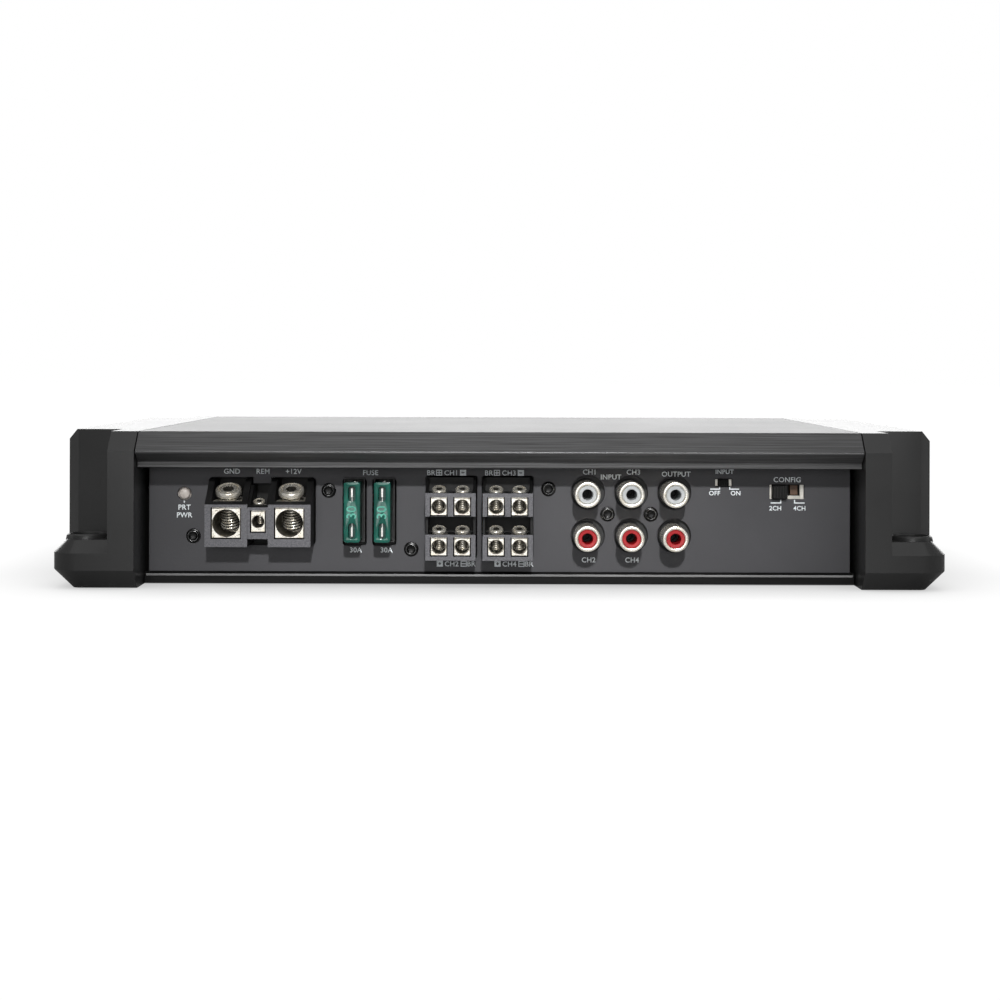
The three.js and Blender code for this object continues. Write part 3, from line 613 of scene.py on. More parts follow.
front_print = Print(facing(-1, panel_face - INK_DEPTH / 2))
for text, x, z in (
    ("GND", -86.2, 36.3), ("REM", -76.2, 36.3), ("+12V", -66.4, 36.3), ("FUSE", -41.6, 36.0),
    ("30A", -46.3, 11.1), ("30A", -36.4, 11.1), ("CH1", 29.0, 36.4), ("CH3", 43.1, 36.4),
    ("INPUT", 35.8, 34.8),
    ("OUTPUT", 56.8, 35.8), ("CH2", 28.7, 8.1), ("CH4", 42.7, 8.1), ("CONFIG", 92.6, 34.1),
    ("PRT", -101.5, 24.7), ("PWR", -101.5, 22.2),
):
    front_print.word(text, x, z)
for text, x, z in (
    ("INPUT", 72.4, 36.6), ("OFF", 69.2, 29.7), ("ON", 76.0, 29.7), ("2CH", 88.8, 24.9), ("4CH", 96.6, 24.9),
):
    front_print.word(text, x, z, 1.45)
for x, upper, lower in ((-17.2, "CH1", "CH2"), (1.4, "CH3", "CH4")):
    front_print.word("BR", x - 4.9, 36.0)
    front_print.polarity(x - 2.3, 36.0, True)
    front_print.word(upper, x + 1.6, 36.0)
    front_print.polarity(x + 5.4, 36.0, False, True)
    front_print.polarity(x - 2.0, 6.7, True, True)
    front_print.word(lower, x + 1.8, 6.7)
    front_print.polarity(x + 5.7, 6.7, False)
    front_print.word("BR", x + 8.1, 6.7)
front_print.bracket(71.0, 30.8, -1, 3.2)
front_print.bracket(73.9, 30.8, 1, 3.2)
front_print.bracket(90.7, 26.4, -1, 3.4, 1.2)
front_print.bracket(94.8, 26.4, 1, 3.4, 1.2)
front_print.stroke(-101.65, -101.35, 26.1, 26.8)
front_print.piece("terminal_panel_lettering")

# ---- Panel screws ----
# Black button-head screws with a hex socket. They hold the terminal blocks and the jack block to
# the panel, so they stand beside each block. One tree sets a screw on every point of a row.
black_oxide = Finish("black_oxide_steel", Metallic=0.9)
oxide = black_oxide.noise(700, 3)
# A pale ring on each head's top, broken into patches by the noise, is a painted highlight on the rim.
rim_highlight_mask = black_oxide.wire.node("ShaderNodeAttribute", {"attribute_name": "worn_edge"}, {}, output="Fac")
rim_highlight = rim_highlight_mask.over(0.25, 0.9) * oxide.over(0.2, 0.5)
black_oxide.set("Base Color", rim_highlight.mix(oxide.over(0.3, 0.7).mix(grey(0.012), grey(0.035)), grey(0.5)))
black_oxide.set("Roughness", 0.2 + 0.14 * oxide)


def circle(radius, height, steps, hexagon=False):
    ring = []
    for step in range(steps):
        angle = 2 * math.pi * step / steps
        reach = radius
        if hexagon:
            reach = radius * math.cos(math.pi / 6) / math.cos(angle % (math.pi / 3) - math.pi / 6)
        ring.append((reach * math.cos(angle), reach * math.sin(angle), height))
    return ring


def rings_at(profile, steps):
    """A ring for each radius and height: radius 0 is a pole, and a third value makes a hexagon."""
    return [circle(*level[:2], steps, len(level) > 2) if level[0] else [(0, 0, level[1])] for level in profile]


def ringed(name, rings, place=Matrix.Identity(4), closed=False, angle=35):
    """A closed body through rings of points; a ring of one point is a pole."""
    shape = bmesh.new()
    rows = [[shape.verts.new(point) for point in ring] for ring in rings]
    pairs = list(zip(rows, rows[1:]))
    if closed:
        pairs.append((rows[-1], rows[0]))
    for lower, upper in pairs:
        count = max(len(lower), len(upper))
        for i in range(count):
            j = (i + 1) % count
            corners = [lower[i % len(lower)], lower[j % len(lower)], upper[j % len(upper)], upper[i % len(upper)]]
            shape.faces.new(list(dict.fromkeys(corners)))
    bmesh.ops.recalc_face_normals(shape, faces=shape.faces)
    mesh = poured(shape, bpy.data.meshes.new(name))
    mesh.transform(place)
    smooth(mesh, angle)
    return mesh


HEX = True  # the third value of a level in rings_at


def socket_screw(radius, height, socket):
    """A flanged button head that stands on z = 0, with a hex socket in it."""
    rim = radius * 0.76
    return rings_at([
        (0, -0.9 * MM), (radius * 0.5, -0.9 * MM), (radius * 0.5, 0), (radius, 0), (radius, height * 0.22),
        (radius * 0.96, height * 0.28), (rim + 0.08 * MM, height * 0.34), (rim, height * 0.42),
        (rim, height * 0.86),
        (rim - 0.06 * MM, height * 0.96), (rim - 0.2 * MM, height), (rim - 0.34 * MM, height * 0.96),
        (socket * 1.1, height * 0.84), (socket, height * 0.78, HEX), (socket * 0.96, height * 0.1, HEX),
        (0, 0),
    ], 24)


def row_tree():
    """Sets a copy of an object on each point, each turned by its own amount, and gives it a material."""
    tree = bpy.data.node_groups.new("one_on_each_point", "GeometryNodeTree")
    sockets = {}
    for name, kind in (
        ("Points", "NodeSocketGeometry"), ("Fastener", "NodeSocketObject"),
        ("Material", "NodeSocketMaterial"),
        ("Most Turn", "NodeSocketFloat"), ("Seed", "NodeSocketInt"),
    ):
        sockets[name] = tree.interface.new_socket(name, in_out="INPUT", socket_type=kind).identifier
    tree.interface.new_socket("Fasteners", in_out="OUTPUT", socket_type="NodeSocketGeometry")
    given, result, info, spread, turn, axis, real, dress = (tree.nodes.new(kind) for kind in (
        "NodeGroupInput", "NodeGroupOutput", "GeometryNodeObjectInfo", "GeometryNodeInstanceOnPoints",
        "FunctionNodeRandomValue", "ShaderNodeCombineXYZ", "GeometryNodeRealizeInstances",
        "GeometryNodeSetMaterial",
    ))
    turn.data_type = "FLOAT"
    for source, target in (
        (given.outputs["Points"], spread.inputs["Points"]),
        (given.outputs["Fastener"], info.inputs["Object"]),
        (info.outputs["Geometry"], spread.inputs["Instance"]), (given.outputs["Most Turn"], turn.inputs[3]),
        (given.outputs["Seed"], turn.inputs["Seed"]), (turn.outputs[1], axis.inputs["Y"]),
        (axis.outputs[0], spread.inputs["Rotation"]), (spread.outputs[0], real.inputs[0]),
        (real.outputs[0], dress.inputs["Geometry"]), (given.outputs["Material"], dress.inputs["Material"]),
        (dress.outputs[0], result.inputs[0]),
    ):
        tree.links.new(source, target)
    return tree, sockets


row_group, row_sockets = row_tree()


def row_of(name, fastener_mesh, points, material, most_turn, seed):
    """One piece with a fastener at each point."""
    fastener = bpy.data.objects.new(f"{name}_pattern", fastener_mesh)
    bpy.context.collection.objects.link(fastener)
    places = bpy.data.meshes.new(name)
    places.from_pydata(points, [], [])
    piece = add_object(name, places)
    modifier = piece.modifiers.new("row", "NODES")
    modifier.node_group = row_group
    modifier[row_sockets["Fastener"]] = fastener
    modifier[row_sockets["Material"]] = material
    modifier[row_sockets["Most Turn"]] = most_turn
    modifier[row_sockets["Seed"]] = seed
    settled(piece)
    bpy.data.objects.remove(fastener)
    smooth(piece.data)
    show(piece, "socket_black")


def rim_highlighted_screw(name, rings, height, low, high, turn):
    """A screw whose top carries a ring, between two radii, marked for a painted highlight."""
    mesh = ringed(name, rings)
    edge = mesh.attributes.new("worn_edge", "FLOAT", "POINT")
    for point, value in zip(mesh.vertices, edge.data):
        on_top = point.co.z > height - 0.05 * MM
        value.value = 1.0 if on_top and low < math.hypot(point.co.x, point.co.y) < high else 0.0
    mesh.transform(Matrix.Rotation(math.radians(turn), 4, "X"))
    return mesh


head_rings = socket_screw(2.35 * MM, 1.5 * MM, 1.1 * MM)
front_screw = rim_highlighted_screw("panel_screw", head_rings, 1.5 * MM, 1.4 * MM, 1.65 * MM, 90)
front_screw_places = [
    (x * MM, panel_face, z * MM)
    for x, z in ((-98.5, 15.5), (-55, 30.2), (-28.4, 11.4), (15.7, 30.9), (34.75, 22.85), (48.65, 22.85))
]
row_of("terminal_panel_screws", front_screw, front_screw_places, black_oxide.material, 1.2, 4)

# ---- Power terminal block ----
# Black glass-filled plastic with a spark-eroded grain on its front faces. Those front faces are painted
# lighter, as if lit, and every face behind them darker, as painted shade. Two towers carry the
# ground and battery lugs, a lower bridge the remote one; a recess over each lug frees its screw.
block_plastic_lit_front = Finish("eroded_grey_glass_filled_plastic", Specular_IOR_Level=0.3)
erosion = block_plastic_lit_front.noise(1500, 2)
fibres = block_plastic_lit_front.noise(3200, 1)
block_plastic_lit_front.set("Base Color", (erosion * 0.5 + fibres * 0.5).over(0.36, 0.64).mix(
    grey(0.085, (0.99, 0.99, 1.07)), grey(0.16, (1, 0.99, 1.06)),
))
block_plastic_lit_front.set("Roughness", 0.55 + 0.2 * erosion)
block_plastic_lit_front.bump(erosion, 0.00005, 0.4)
block_plastic_painted_shade = mottled(
    "smooth_black_glass_filled_plastic", 200, 3, grey(0.006), grey(0.012), 0.4, Specular_IOR_Level=0.25,
)


def block_moulding(name, node, edge):
    """A terminal block: its foremost faces carry the grain and a painted light tone, everything behind them is
    smooth and painted darker as shade.
    """
    piece = add_object(name, joined_copy(node), block_plastic_lit_front.material)
    edged(piece, edge)
    piece.data.materials.append(block_plastic_painted_shade)
    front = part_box(node)[0].y + 0.5 * MM
    # Front-facing faces take the painted light tone, all other faces the painted shade.
    for face in piece.data.polygons:
        face.material_index = 0 if face.normal.y < -0.7 and face.center.y < front else 1
    show(piece, "terminal_grey", node)


block_moulding("power_block_moulding", "power_terminal_block", 0.18 * MM)

# ---- Lugs ----
# Nickel-plated brass blocks, drilled from the front for the wire and tapped from above for the
# screw. The hole's mouth is chamfered, and the back stands higher than the face to hold the thread.
def plating(name, metallic, dull, speckles):
    made = Finish(name, Metallic=metallic)
    tarnish = made.noise(420, 4)
    pits = made.noise(2400, 2)
    spots = made.noise(1700, 3).over(0.56, 0.66) * speckles
    clean = tarnish.over(0.35, 0.75).mix(grey(0.95, (1, 0.975, 0.9)), grey(0.75, (1, 0.91, 0.74)))
    made.set("Base Color", spots.mix(clean, grey(0.2, (1, 0.9, 0.7))))
    made.set("Roughness", dull + 0.2 * tarnish * pits + 0.06 * pits)
    made.bump(pits, 0.00003, 0.12 + dull / 2)
    return made


nickel = plating("bright_nickel_plating", 0.8, 0.17, 0.1)
blasted_nickel = plating("blasted_nickel_plating", 0.8, 0.3, 0.85)
# The bore's walls are painted darker than the face: painted shade inside the hole.
bore_painted_shade = mottled(
    "dull_plating_in_the_bore", 700, 3, grey(0.1, (1, 0.9, 0.72)), grey(0.3, (1, 0.93, 0.8)), 0.25,
    Metallic=0.9,
)


def rectangle(half_width, half_height, depth, steps):
    """Points round a rectangle, one for each of a circle's, with one at each corner."""
    ring = []
    for step in range(steps):
        angle = 2 * math.pi * step / steps
        reach = 1 / max(abs(math.cos(angle)), abs(math.sin(angle)))
        ring.append((half_width * reach * math.cos(angle), half_height * reach * math.sin(angle), depth))
    return ring


def lying(x, y, z, degrees=90):
    """Lays a shape that stands on the ground on its back, so that its top looks along -Y."""
    return Matrix.Translation((x, y, z)) @ Matrix.Rotation(math.radians(degrees), 4, "X")


def drilled_lug(node, hole_height, hole_radius, face_height, steps=48):
    low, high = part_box(node)
    width, depth = high.x - low.x, high.y - low.y
    edge = 0.12 * MM
    half = (width / 2, face_height / 2)
    chamfer = min(0.3 * MM, half[0] - hole_radius - 0.1 * MM, half[1] - hole_radius - 0.1 * MM)
    rings = [
        [(0, 0, -depth)], rectangle(*half, -depth, steps), rectangle(*half, -edge, steps),
        rectangle(half[0] - edge, half[1] - edge, 0, steps),
    ] + rings_at([
        (hole_radius + chamfer, 0), (hole_radius, -chamfer), (hole_radius, 1.5 * MM - depth),
        (0, 1.5 * MM - depth),
    ], steps)
    mesh = ringed(node, rings, lying((low.x + high.x) / 2, low.y, hole_height))
    shape = bmesh.new()
    shape.from_mesh(mesh)
    top = hole_height + face_height / 2
    upright_box(shape, (low.x, low.y + 1.2 * MM, top), (high.x, high.y, high.z))
    smooth(poured(shape, mesh))
    made = add_object(f"{node}_plated", mesh, blasted_nickel.material)
    mesh.materials.append(bore_painted_shade)
    # Faces inside the hole take the painted shade.
    for face in mesh.polygons:
        away = math.hypot(face.center.x - (low.x + high.x) / 2, face.center.z - hole_height)
        inside = low.y + chamfer + 0.05 * MM < face.center.y < high.y - 0.5 * MM
        if inside and away < hole_radius * 1.01:
            face.material_index = 1
    show(made, "nickel_plate", node)


for node in ("lug_ground", "lug_battery"):
    drilled_lug(node, 20.5 * MM, 4.35 * MM, 9.3 * MM)
drilled_lug("lug_remote", 21 * MM, 1.95 * MM, 6.4 * MM)

# ---- Clamp screws ----
# Nickel-plated set screws with a flat head and a hex socket. Each leans out of the panel by 25
# degrees, so that a driver reaches it past the heatsink's edge, and its thread shows in the hole.
SCREW_TILT = math.radians(25)


# Painted shade for the thread's roots and the socket's hollow, which are made nearly black.
root_and_socket_painted_shade = mottled(
    "darkened_thread_root", 900, 2, grey(0.012), grey(0.05, (1, 0.9, 0.7)), 0.5, Metallic=0.6,
)


def threaded_screw(node, hole_height, shank_radius, tip, pitch, head_height, cut=0.4, steps=36, per_turn=12):
    low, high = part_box(node)
    head = (high.x - low.x) / 2
    reach = (high.z - hole_height - head * math.sin(SCREW_TILT)) / math.cos(SCREW_TILT)
    crossing = low.y + head * math.cos(SCREW_TILT) + reach * math.sin(SCREW_TILT)
    under = reach - head_height
    depth = cut * pitch
    rings = rings_at([(0, tip), (shank_radius * 0.72, tip), (shank_radius * 0.96, tip + 0.25 * MM)], steps)
    for level in range(int((under - tip - 0.6 * MM) / pitch * per_turn)):
        height = tip + 0.45 * MM + level * pitch / per_turn
        ring = []
        for step in range(steps):
            angle = 2 * math.pi * step / steps
            phase = (height / pitch - step / steps) % 1
            radius = shank_radius - depth * max(0, 1 - abs(phase - 0.5) / 0.3)
            ring.append((radius * math.cos(angle), radius * math.sin(angle), height))
        rings.append(ring)
    socket = head * 0.44
    rings += rings_at([
        (shank_radius * 0.9, under), (head * 0.94, under), (head, under + head_height * 0.1),
        (head, reach - head_height * 0.28), (head * 0.95, reach - head_height * 0.08), (head * 0.88, reach),
        (head * 0.82, reach), (head * 0.8, reach - head_height * 0.16),
        (head * 0.72, reach - head_height * 0.16),
        (head * 0.69, reach - head_height * 0.02), (socket * 1.3, reach),
        (socket * 1.05, reach - 0.14 * head_height, HEX),
        (socket, reach - head_height * 0.75, HEX), (0, reach - head_height * 0.85),
    ], steps)
    place = Matrix.Translation(((low.x + high.x) / 2, crossing, hole_height)) @ Matrix.Rotation(SCREW_TILT, 4, "X")
    made = add_object(f"{node}_threaded", ringed(node, rings, angle=50), nickel.material)
    made.data.materials.append(root_and_socket_painted_shade)
    # Faces in the thread's roots and down the socket take the painted shade.
    for face in made.data.polygons:
        x, y, z = face.center
        root = cut > 0.3 and tip + 0.3 * MM < z < under and math.hypot(x, y) < shank_radius - depth * 0.35
        pit = z < reach - 0.3 * head_height and z > under and math.hypot(x, y) < socket * 1.1
        face.material_index = 1 if root or pit else 0
    made.data.transform(place)
    show(made, "nickel_plate", node, body=f"{node}_body")


for node in ("screw_ground", "screw_battery"):
    threaded_screw(node, 20.5 * MM, 3.2 * MM, -2.1 * MM, 1.0 * MM, 2 * MM)
threaded_screw("screw_remote", 21 * MM, 1.1 * MM, -0.95 * MM, 0.6 * MM, 1.1 * MM, 0.2, 24, 8)

# ---- Speaker terminals ----
# Two stepped blocks of the same plastic. Each step has two small lugs in its face, and their
# screws lean out of the recess over it, so that the upper row doesn't cover the lower one.
speaker_rows = {"lower": 13.2 * MM, "upper": 25.9 * MM}
for letter in "ab":
    block_moulding(f"speaker_block_{letter}_moulding", f"speaker_block_{letter}", 0.14 * MM)
    for level, hole_height in speaker_rows.items():
        for side in ("left", "right"):
            place = f"{letter}_{level}_{side}"
            drilled_lug(f"speaker_lug_{place}", hole_height, 2.2 * MM, 5.4 * MM, 40)
            threaded_screw(
                f"speaker_screw_{place}", hole_height, 1.5 * MM, -1.0 * MM, 0.7 * MM, 1.1 * MM, 0.2, 24, 8,
            )

# ---- Blade fuses ----
# Standard 30 A blade fuses: a clear green housing over a dark centre, the two test windows near its
# ends with the blades' tips in them, the rating moulded on the face, and the link seen through it.
fuse_plastic = mottled(
    "clear_green_fuse_plastic", 160, 3, (0.0005, 0.045, 0.033, 1), (0.002, 0.12, 0.085, 1), 0.12, 0.12,
    Transmission_Weight=0.15, IOR=1.5, Coat_Weight=0.25,
)
fuse_core = mottled("dark_fuse_core", 220, 2, (0.001, 0.018, 0.015, 1), (0.004, 0.05, 0.04, 1), Roughness=0.3)
rating_ink = mottled("pale_green_rating", 300, 2, (0.05, 0.3, 0.22, 1), (0.12, 0.45, 0.35, 1), Roughness=0.35)
blade_metal = mottled(
    "zinc_fuse_blade", 1.0, 3, grey(0.72, (1, 0.99, 0.95)), grey(0.88, (1, 0.99, 0.95)), 0.2,
    stretch=(3000, 300, 3000), Metallic=1.0,
)


fuse_body_depth = 12.4 * MM
for side in ("left", "right"):
    low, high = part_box(f"fuse_{side}")
    body = f"fuse_{side}_body"
    x, z = (low.x + high.x) / 2, (low.z + high.z) / 2
    half, tall = (high.x - low.x) / 2, (high.z - low.z) / 2
    back = low.y + fuse_body_depth
    channel = 1.1 * MM
    window_low, window_high = 3.5 * MM, 8.3 * MM
    rim = window(x - half, x + half, z - tall, z + tall, 0.8 * MM)
    slots = [
        window(x - channel, x + channel, *sorted((z + sign * window_low, z + sign * window_high)), 0.9 * MM)
        for sign in (-1, 1)
    ]
    face = flat_sheet(f"fuse_{side}_face", [rim, *slots], 1.4 * MM, 0.25 * MM, facing(-1, low.y + 0.86 * MM))
    shape = bmesh.new()
    shape.from_mesh(face)
    for near, far in ((x - half + 0.15 * MM, x - channel), (x + channel, x + half - 0.15 * MM)):
        upright_box(shape, (near, low.y + 1.3 * MM, z - tall + 0.4 * MM), (far, back, z + tall - 0.4 * MM))
    smooth(poured(shape, face))
    housing = add_object(f"fuse_{side}_housing", face, fuse_plastic)
    show(housing, "fuse_green", f"fuse_{side}", body=body)
    core = box_piece(f"fuse_{side}_core", [
        ((x - 1.05 * MM, low.y + 1.9 * MM, z - tall + 0.6 * MM), (x + 1.05 * MM, back, z + tall - 0.6 * MM)),
    ], fuse_core, 0.1 * MM)
    show(core, "fuse_green", body=body)
    blades = []
    for sign in (-1, 1):
        middle = z + sign * 6.6 * MM
        blades.append(((x - 0.35 * MM, back, middle - 2.55 * MM), (x + 0.35 * MM, high.y, middle + 2.55 * MM)))
        tip = z + sign * 6.2 * MM
        blades.append((
            (x - 0.3 * MM, low.y + 0.3 * MM, tip - 1.4 * MM),
            (x + 0.3 * MM, low.y + 2.6 * MM, tip + 1.4 * MM),
        ))
        link_low, link_high = sorted((z + sign * 3.4 * MM, tip))
        blades.append(((x - 0.12 * MM, low.y + 1.2 * MM, link_low), (x + 0.12 * MM, low.y + 2.1 * MM, link_high)))
    metal = box_piece(f"fuse_{side}_blades", blades, blade_metal, 0.06 * MM)
    show(metal, "nickel_plate", body=body)

    rating = text_mesh("30", 4.3 * MM, 0.14 * MM, align_y="CENTER", bevel_depth=0.05 * MM)
    rating.transform(lying(x, low.y + 0.14 * MM, z) @ Matrix.Rotation(math.radians(90), 4, "Z"))
    show(add_object(f"fuse_{side}_rating", rating, rating_ink), "fuse_green", body=body)

socket_plastic = mottled(
    "matt_black_socket_plastic", 900, 3, grey(0.018), grey(0.034), 0.42, Specular_IOR_Level=0.4,
)
for side in ("left", "right"):
    dressed_solid(f"fuse_holder_{side}", f"fuse_socket_{side}", socket_plastic, "socket_black", 0.15 * MM)

# ---- Signal jacks ----
# Six sockets in one moulded block. Each has a nickel-plated sleeve with a rolled rim round an
# insulator, white in the upper row and red in the lower, on a black collar behind the panel.
white_insulator = mottled(
    "white_insulator", 300, 3, grey(0.4, (0.95, 0.99, 1)), grey(0.5, (0.96, 0.99, 1)), 0.3, 0.15,
    Specular_IOR_Level=0.5,
)
red_insulator = mottled(
    "red_insulator", 300, 3, (0.3, 0.006, 0.01, 1), (0.42, 0.012, 0.016, 1), 0.28, 0.15,
    Specular_IOR_Level=0.5,
)


def turned(name, profile, x, y, z, material):
    """A body turned about an axis along Y. The profile of radii and depths behind y closes on itself."""
    rings = rings_at([(radius, -depth) for radius, depth in profile], 48)
    return add_object(name, ringed(name, rings, lying(x, y, z), closed=True), material)


collar_face = panel_face - 1.4 * MM
for row in ("lower", "upper"):
    for column in (1, 2, 3):
        node = f"jack_sleeve_{row}_{column}"
        low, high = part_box(node)
        x, z = (low.x + high.x) / 2, (low.z + high.z) / 2
        length = high.y - low.y
        bore = 3.2 * MM
        outer = 4.1 * MM
        sleeve = turned(f"jack_{row}_{column}_sleeve", [
            (bore, length), (bore, 1.4 * MM), (2.95 * MM, 1.2 * MM), (2.95 * MM, 0.3 * MM),
            (3.08 * MM, 0.08 * MM),
            (3.3 * MM, 0), (3.85 * MM, 0), (4.02 * MM, 0.1 * MM), (outer, 0.35 * MM),
            (outer, length - 2.2 * MM),
            (3.95 * MM, length - 2 * MM), (3.95 * MM, length - 1.6 * MM), (outer, length - 1.4 * MM),
            (outer, length),
        ], x, low.y, z, nickel.material)
        show(sleeve, "nickel_plate", node)
        material = white_insulator if row == "upper" else red_insulator
        insulator = turned(f"jack_{row}_{column}_insulator", [
            (1.7 * MM, length + 1 * MM), (1.7 * MM, 0.75 * MM), (1.85 * MM, 0.55 * MM), (2.7 * MM, 0.5 * MM),
            (2.88 * MM, 0.65 * MM), (2.9 * MM, 1 * MM), (2.9 * MM, length + 1 * MM),
        ], x, low.y, z, material)
        show(insulator, "jack_plastic")
        collar = turned(f"jack_{row}_{column}_collar", [
            (1.2 * MM, 3.5 * MM), (1.2 * MM, 0.6 * MM), (4.15 * MM, 0.6 * MM), (4.15 * MM, 0), (4.3 * MM, 0),
            (4.4 * MM, 0.15 * MM), (4.4 * MM, 3.5 * MM),
        ], x, collar_face, z, socket_plastic)
        show(collar, "socket_black")

block_low, block_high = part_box("jack_block")
jack_body = box_piece("jack_block_moulding", [
    ((block_low.x, panel_high.y + 0.3 * MM, block_low.z), (block_high.x, block_high.y, block_high.z)),
], socket_plastic, 0.4 * MM)
show(jack_body, "socket_black", "jack_block")

# ---- Indicator ----
# A frosted warm-white light pipe in a small hole; its dome stands just proud of the panel.
lens = mottled(
    "frosted_indicator", 900, 3, grey(0.5, (1, 0.9, 0.82)), grey(0.66, (1, 0.91, 0.84)), 0.25,
    Specular_IOR_Level=0.4,
)
light_low, light_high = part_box("status_led")
x, z = (light_low.x + light_high.x) / 2, (light_low.z + light_high.z) / 2
dome_rings = rings_at([
    (0, 0), (0.7 * MM, -0.05 * MM), (1.25 * MM, -0.2 * MM), (1.6 * MM, -0.45 * MM), (1.75 * MM, -0.75 * MM),
    (1.75 * MM, -2.4 * MM), (2.35 * MM, -2.4 * MM), (2.35 * MM, -3.4 * MM), (1.75 * MM, -3.4 * MM),
    (1.75 * MM, light_low.y - light_high.y), (0, light_low.y - light_high.y),
], 32)
dome = add_object("indicator_dome", ringed("indicator_dome", dome_rings, lying(x, light_low.y, z)), lens)
show(dome, "indicator_lens", "status_led")

# ---- Slide switches ----
# Small slide switches on the board behind the panels: a steel frame round a cavity, and a black
# actuator with ribs across it, for a fingernail or a small screwdriver.
knob_plastic = mottled("black_actuator", 300, 4, grey(0.006), grey(0.012), 0.5, Specular_IOR_Level=0.25)
frame_metal = mottled(
    "tinned_switch_frame", 500, 4, grey(0.5, (1, 0.97, 0.88)), grey(0.68, (1, 0.96, 0.88)), 0.3,
    Metallic=0.85,
)


def ribbed_knob(node, body, outward, ribs, inset=0.0, neck=None):
    """A sliding actuator whose outer end is cut into ribs that run up and down."""
    groove = 0.35 * MM
    low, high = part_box(node)
    if neck:
        shoulder, neck_end, left, right, lower = neck
        neck_low = (low.x + left, shoulder - 0.1 * MM, low.z + lower)
        neck_high = (high.x - right, neck_end, high.z - 0.1 * MM)
    low.x += inset
    face = low.y if outward < 0 else high.y
    inner = high.y if outward < 0 else low.y
    root = face - outward * 0.7 * MM
    pitch = (high.x - low.x) / ribs
    boxes = [((low.x, min(root, inner), low.z), (high.x, max(root, inner), high.z))]
    if neck:
        boxes = [((low.x, root, low.z), (high.x, shoulder, high.z)), (neck_low, neck_high)]
    for rib in range(ribs):
        x = low.x + pitch * rib
        ends = sorted((face, root - outward * 0.2 * MM))
        boxes.append((
            (x + groove / 2, ends[0], low.z + 0.1 * MM), (x + pitch - groove / 2, ends[1], high.z - 0.1 * MM),
        ))
    piece = box_piece(f"{node}_ribbed", boxes, knob_plastic, 0.08 * MM)
    show(piece, "socket_black", node, body=body)


for switch in ("input", "config"):
    ribs, inset = (3, 0.8 * MM) if switch == "input" else (5, 0.5 * MM)
    node = f"{switch}_switch_body"
    low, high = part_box(node)
    margins = (0.95 * MM, 0.95 * MM, 0.1 * MM) if switch == "input" else (0.8 * MM, 1.4 * MM, 1.2 * MM)
    neck = (panel_face + 0.85 * MM, low.y + 0.25 * MM, *margins)
    ribbed_knob(f"{switch}_switch_knob", f"{switch}_switch", -1, ribs, inset, neck=neck)
    wide, tall = 1.8 * MM, 1.2 * MM
    back = low.y + 3.3 * MM
    cavity = box_piece(f"{switch}_switch_case", [
        ((low.x, low.y, low.z), (low.x + wide, high.y, high.z)),
        ((high.x - wide, low.y, low.z), (high.x, high.y, high.z)),
        ((low.x + wide, low.y, low.z), (high.x - wide, high.y, low.z + tall)),
        ((low.x + wide, low.y, high.z - tall), (high.x - wide, high.y, high.z)),
        ((low.x + wide, back, low.z + tall), (high.x - wide, high.y, high.z - tall)),
    ], socket_plastic)
    show(cavity, "socket_black", node)
    frame_edge = 0.45 * MM
    open_low = (low.x + wide, low.z + tall)
    open_high = (high.x - wide, high.z - tall)
    if switch == "input":
        strips = [
            (open_low[0], open_low[0] + 0.9 * MM, open_low[1] + 0.2 * MM, open_high[1] - 0.2 * MM),
            (open_high[0] - 0.9 * MM, open_high[0], open_low[1] + 0.2 * MM, open_high[1] - 0.2 * MM),
        ]
    else:
        strips = [
            (open_low[0], open_low[0] + frame_edge + 0.3 * MM, open_low[1], open_high[1]),
            (open_high[0] - 1.3 * MM, open_high[0], open_low[1], open_high[1]),
            (open_low[0] + 5.9 * MM, open_high[0] - 1.3 * MM, open_low[1], open_low[1] + 1.1 * MM),
        ]
    front = panel_face + 0.9 * MM
    frames = box_piece(f"{switch}_switch_frame", [
        ((x0, front, z0), (x1, low.y - 0.02 * MM, z1)) for x0, x1, z0, z1 in strips
    ], frame_metal, 0.08 * MM)
    show(frames, "nickel_plate")
carrier_plastic = mottled(
    "brown_phenolic_carrier", 400, 3, (0.09, 0.05, 0.03, 1), (0.16, 0.09, 0.055, 1), 0.4,
    Specular_IOR_Level=0.4,
)
case_low, case_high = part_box("config_switch_body")
carrier = box_piece("config_switch_carrier", [(
    (case_high.x - 6 * MM, case_low.y + 0.3 * MM, case_low.z + 2.5 * MM),
    (case_high.x - 3.6 * MM, case_low.y + 3.3 * MM, case_high.z - 1.5 * MM),
)], carrier_plastic, 0.1 * MM)
show(carrier, "socket_black")

# ---- Control panel ----
# The far panel, of the same painted sheet, with four slotted trimmers and two slide switches
# between them. The trimmers' dials sit on a small upright board behind it.
far_low, far_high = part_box("control_panel")
far_middle = (far_low.y + far_high.y) / 2
far_holes = [window(far_low.x, far_high.x, far_low.z, far_high.z, 0.5 * MM)]
knob_nodes = ("gain_knob_1", "crossover_knob_1", "crossover_knob_2", "gain_knob_2")
knob_radius = 3.4 * MM
for node in knob_nodes:
    middle = centre_of(node)
    far_holes.append(round_hole(middle.x, middle.z, knob_radius + room))
for number in (1, 2):
    middle = centre_of(f"filter_switch_knob_{number}")
    far_holes.append(window(
        middle.x - 4.2 * MM, middle.x + 4.2 * MM, middle.z - 1.8 * MM, middle.z + 1.8 * MM, 0.3 * MM,
    ))
    ribbed_knob(f"filter_switch_knob_{number}", f"filter_switch_{number}", 1, 4)
far_panel = add_object("control_panel_sheet", flat_sheet(
    "control_panel_sheet", [[(-x, z) for x, z in outline] for outline in far_holes],
    far_high.y - far_low.y, 0.12 * MM, facing(1, far_middle),
), paint.material)
show(far_panel, "panel_black", "control_panel")

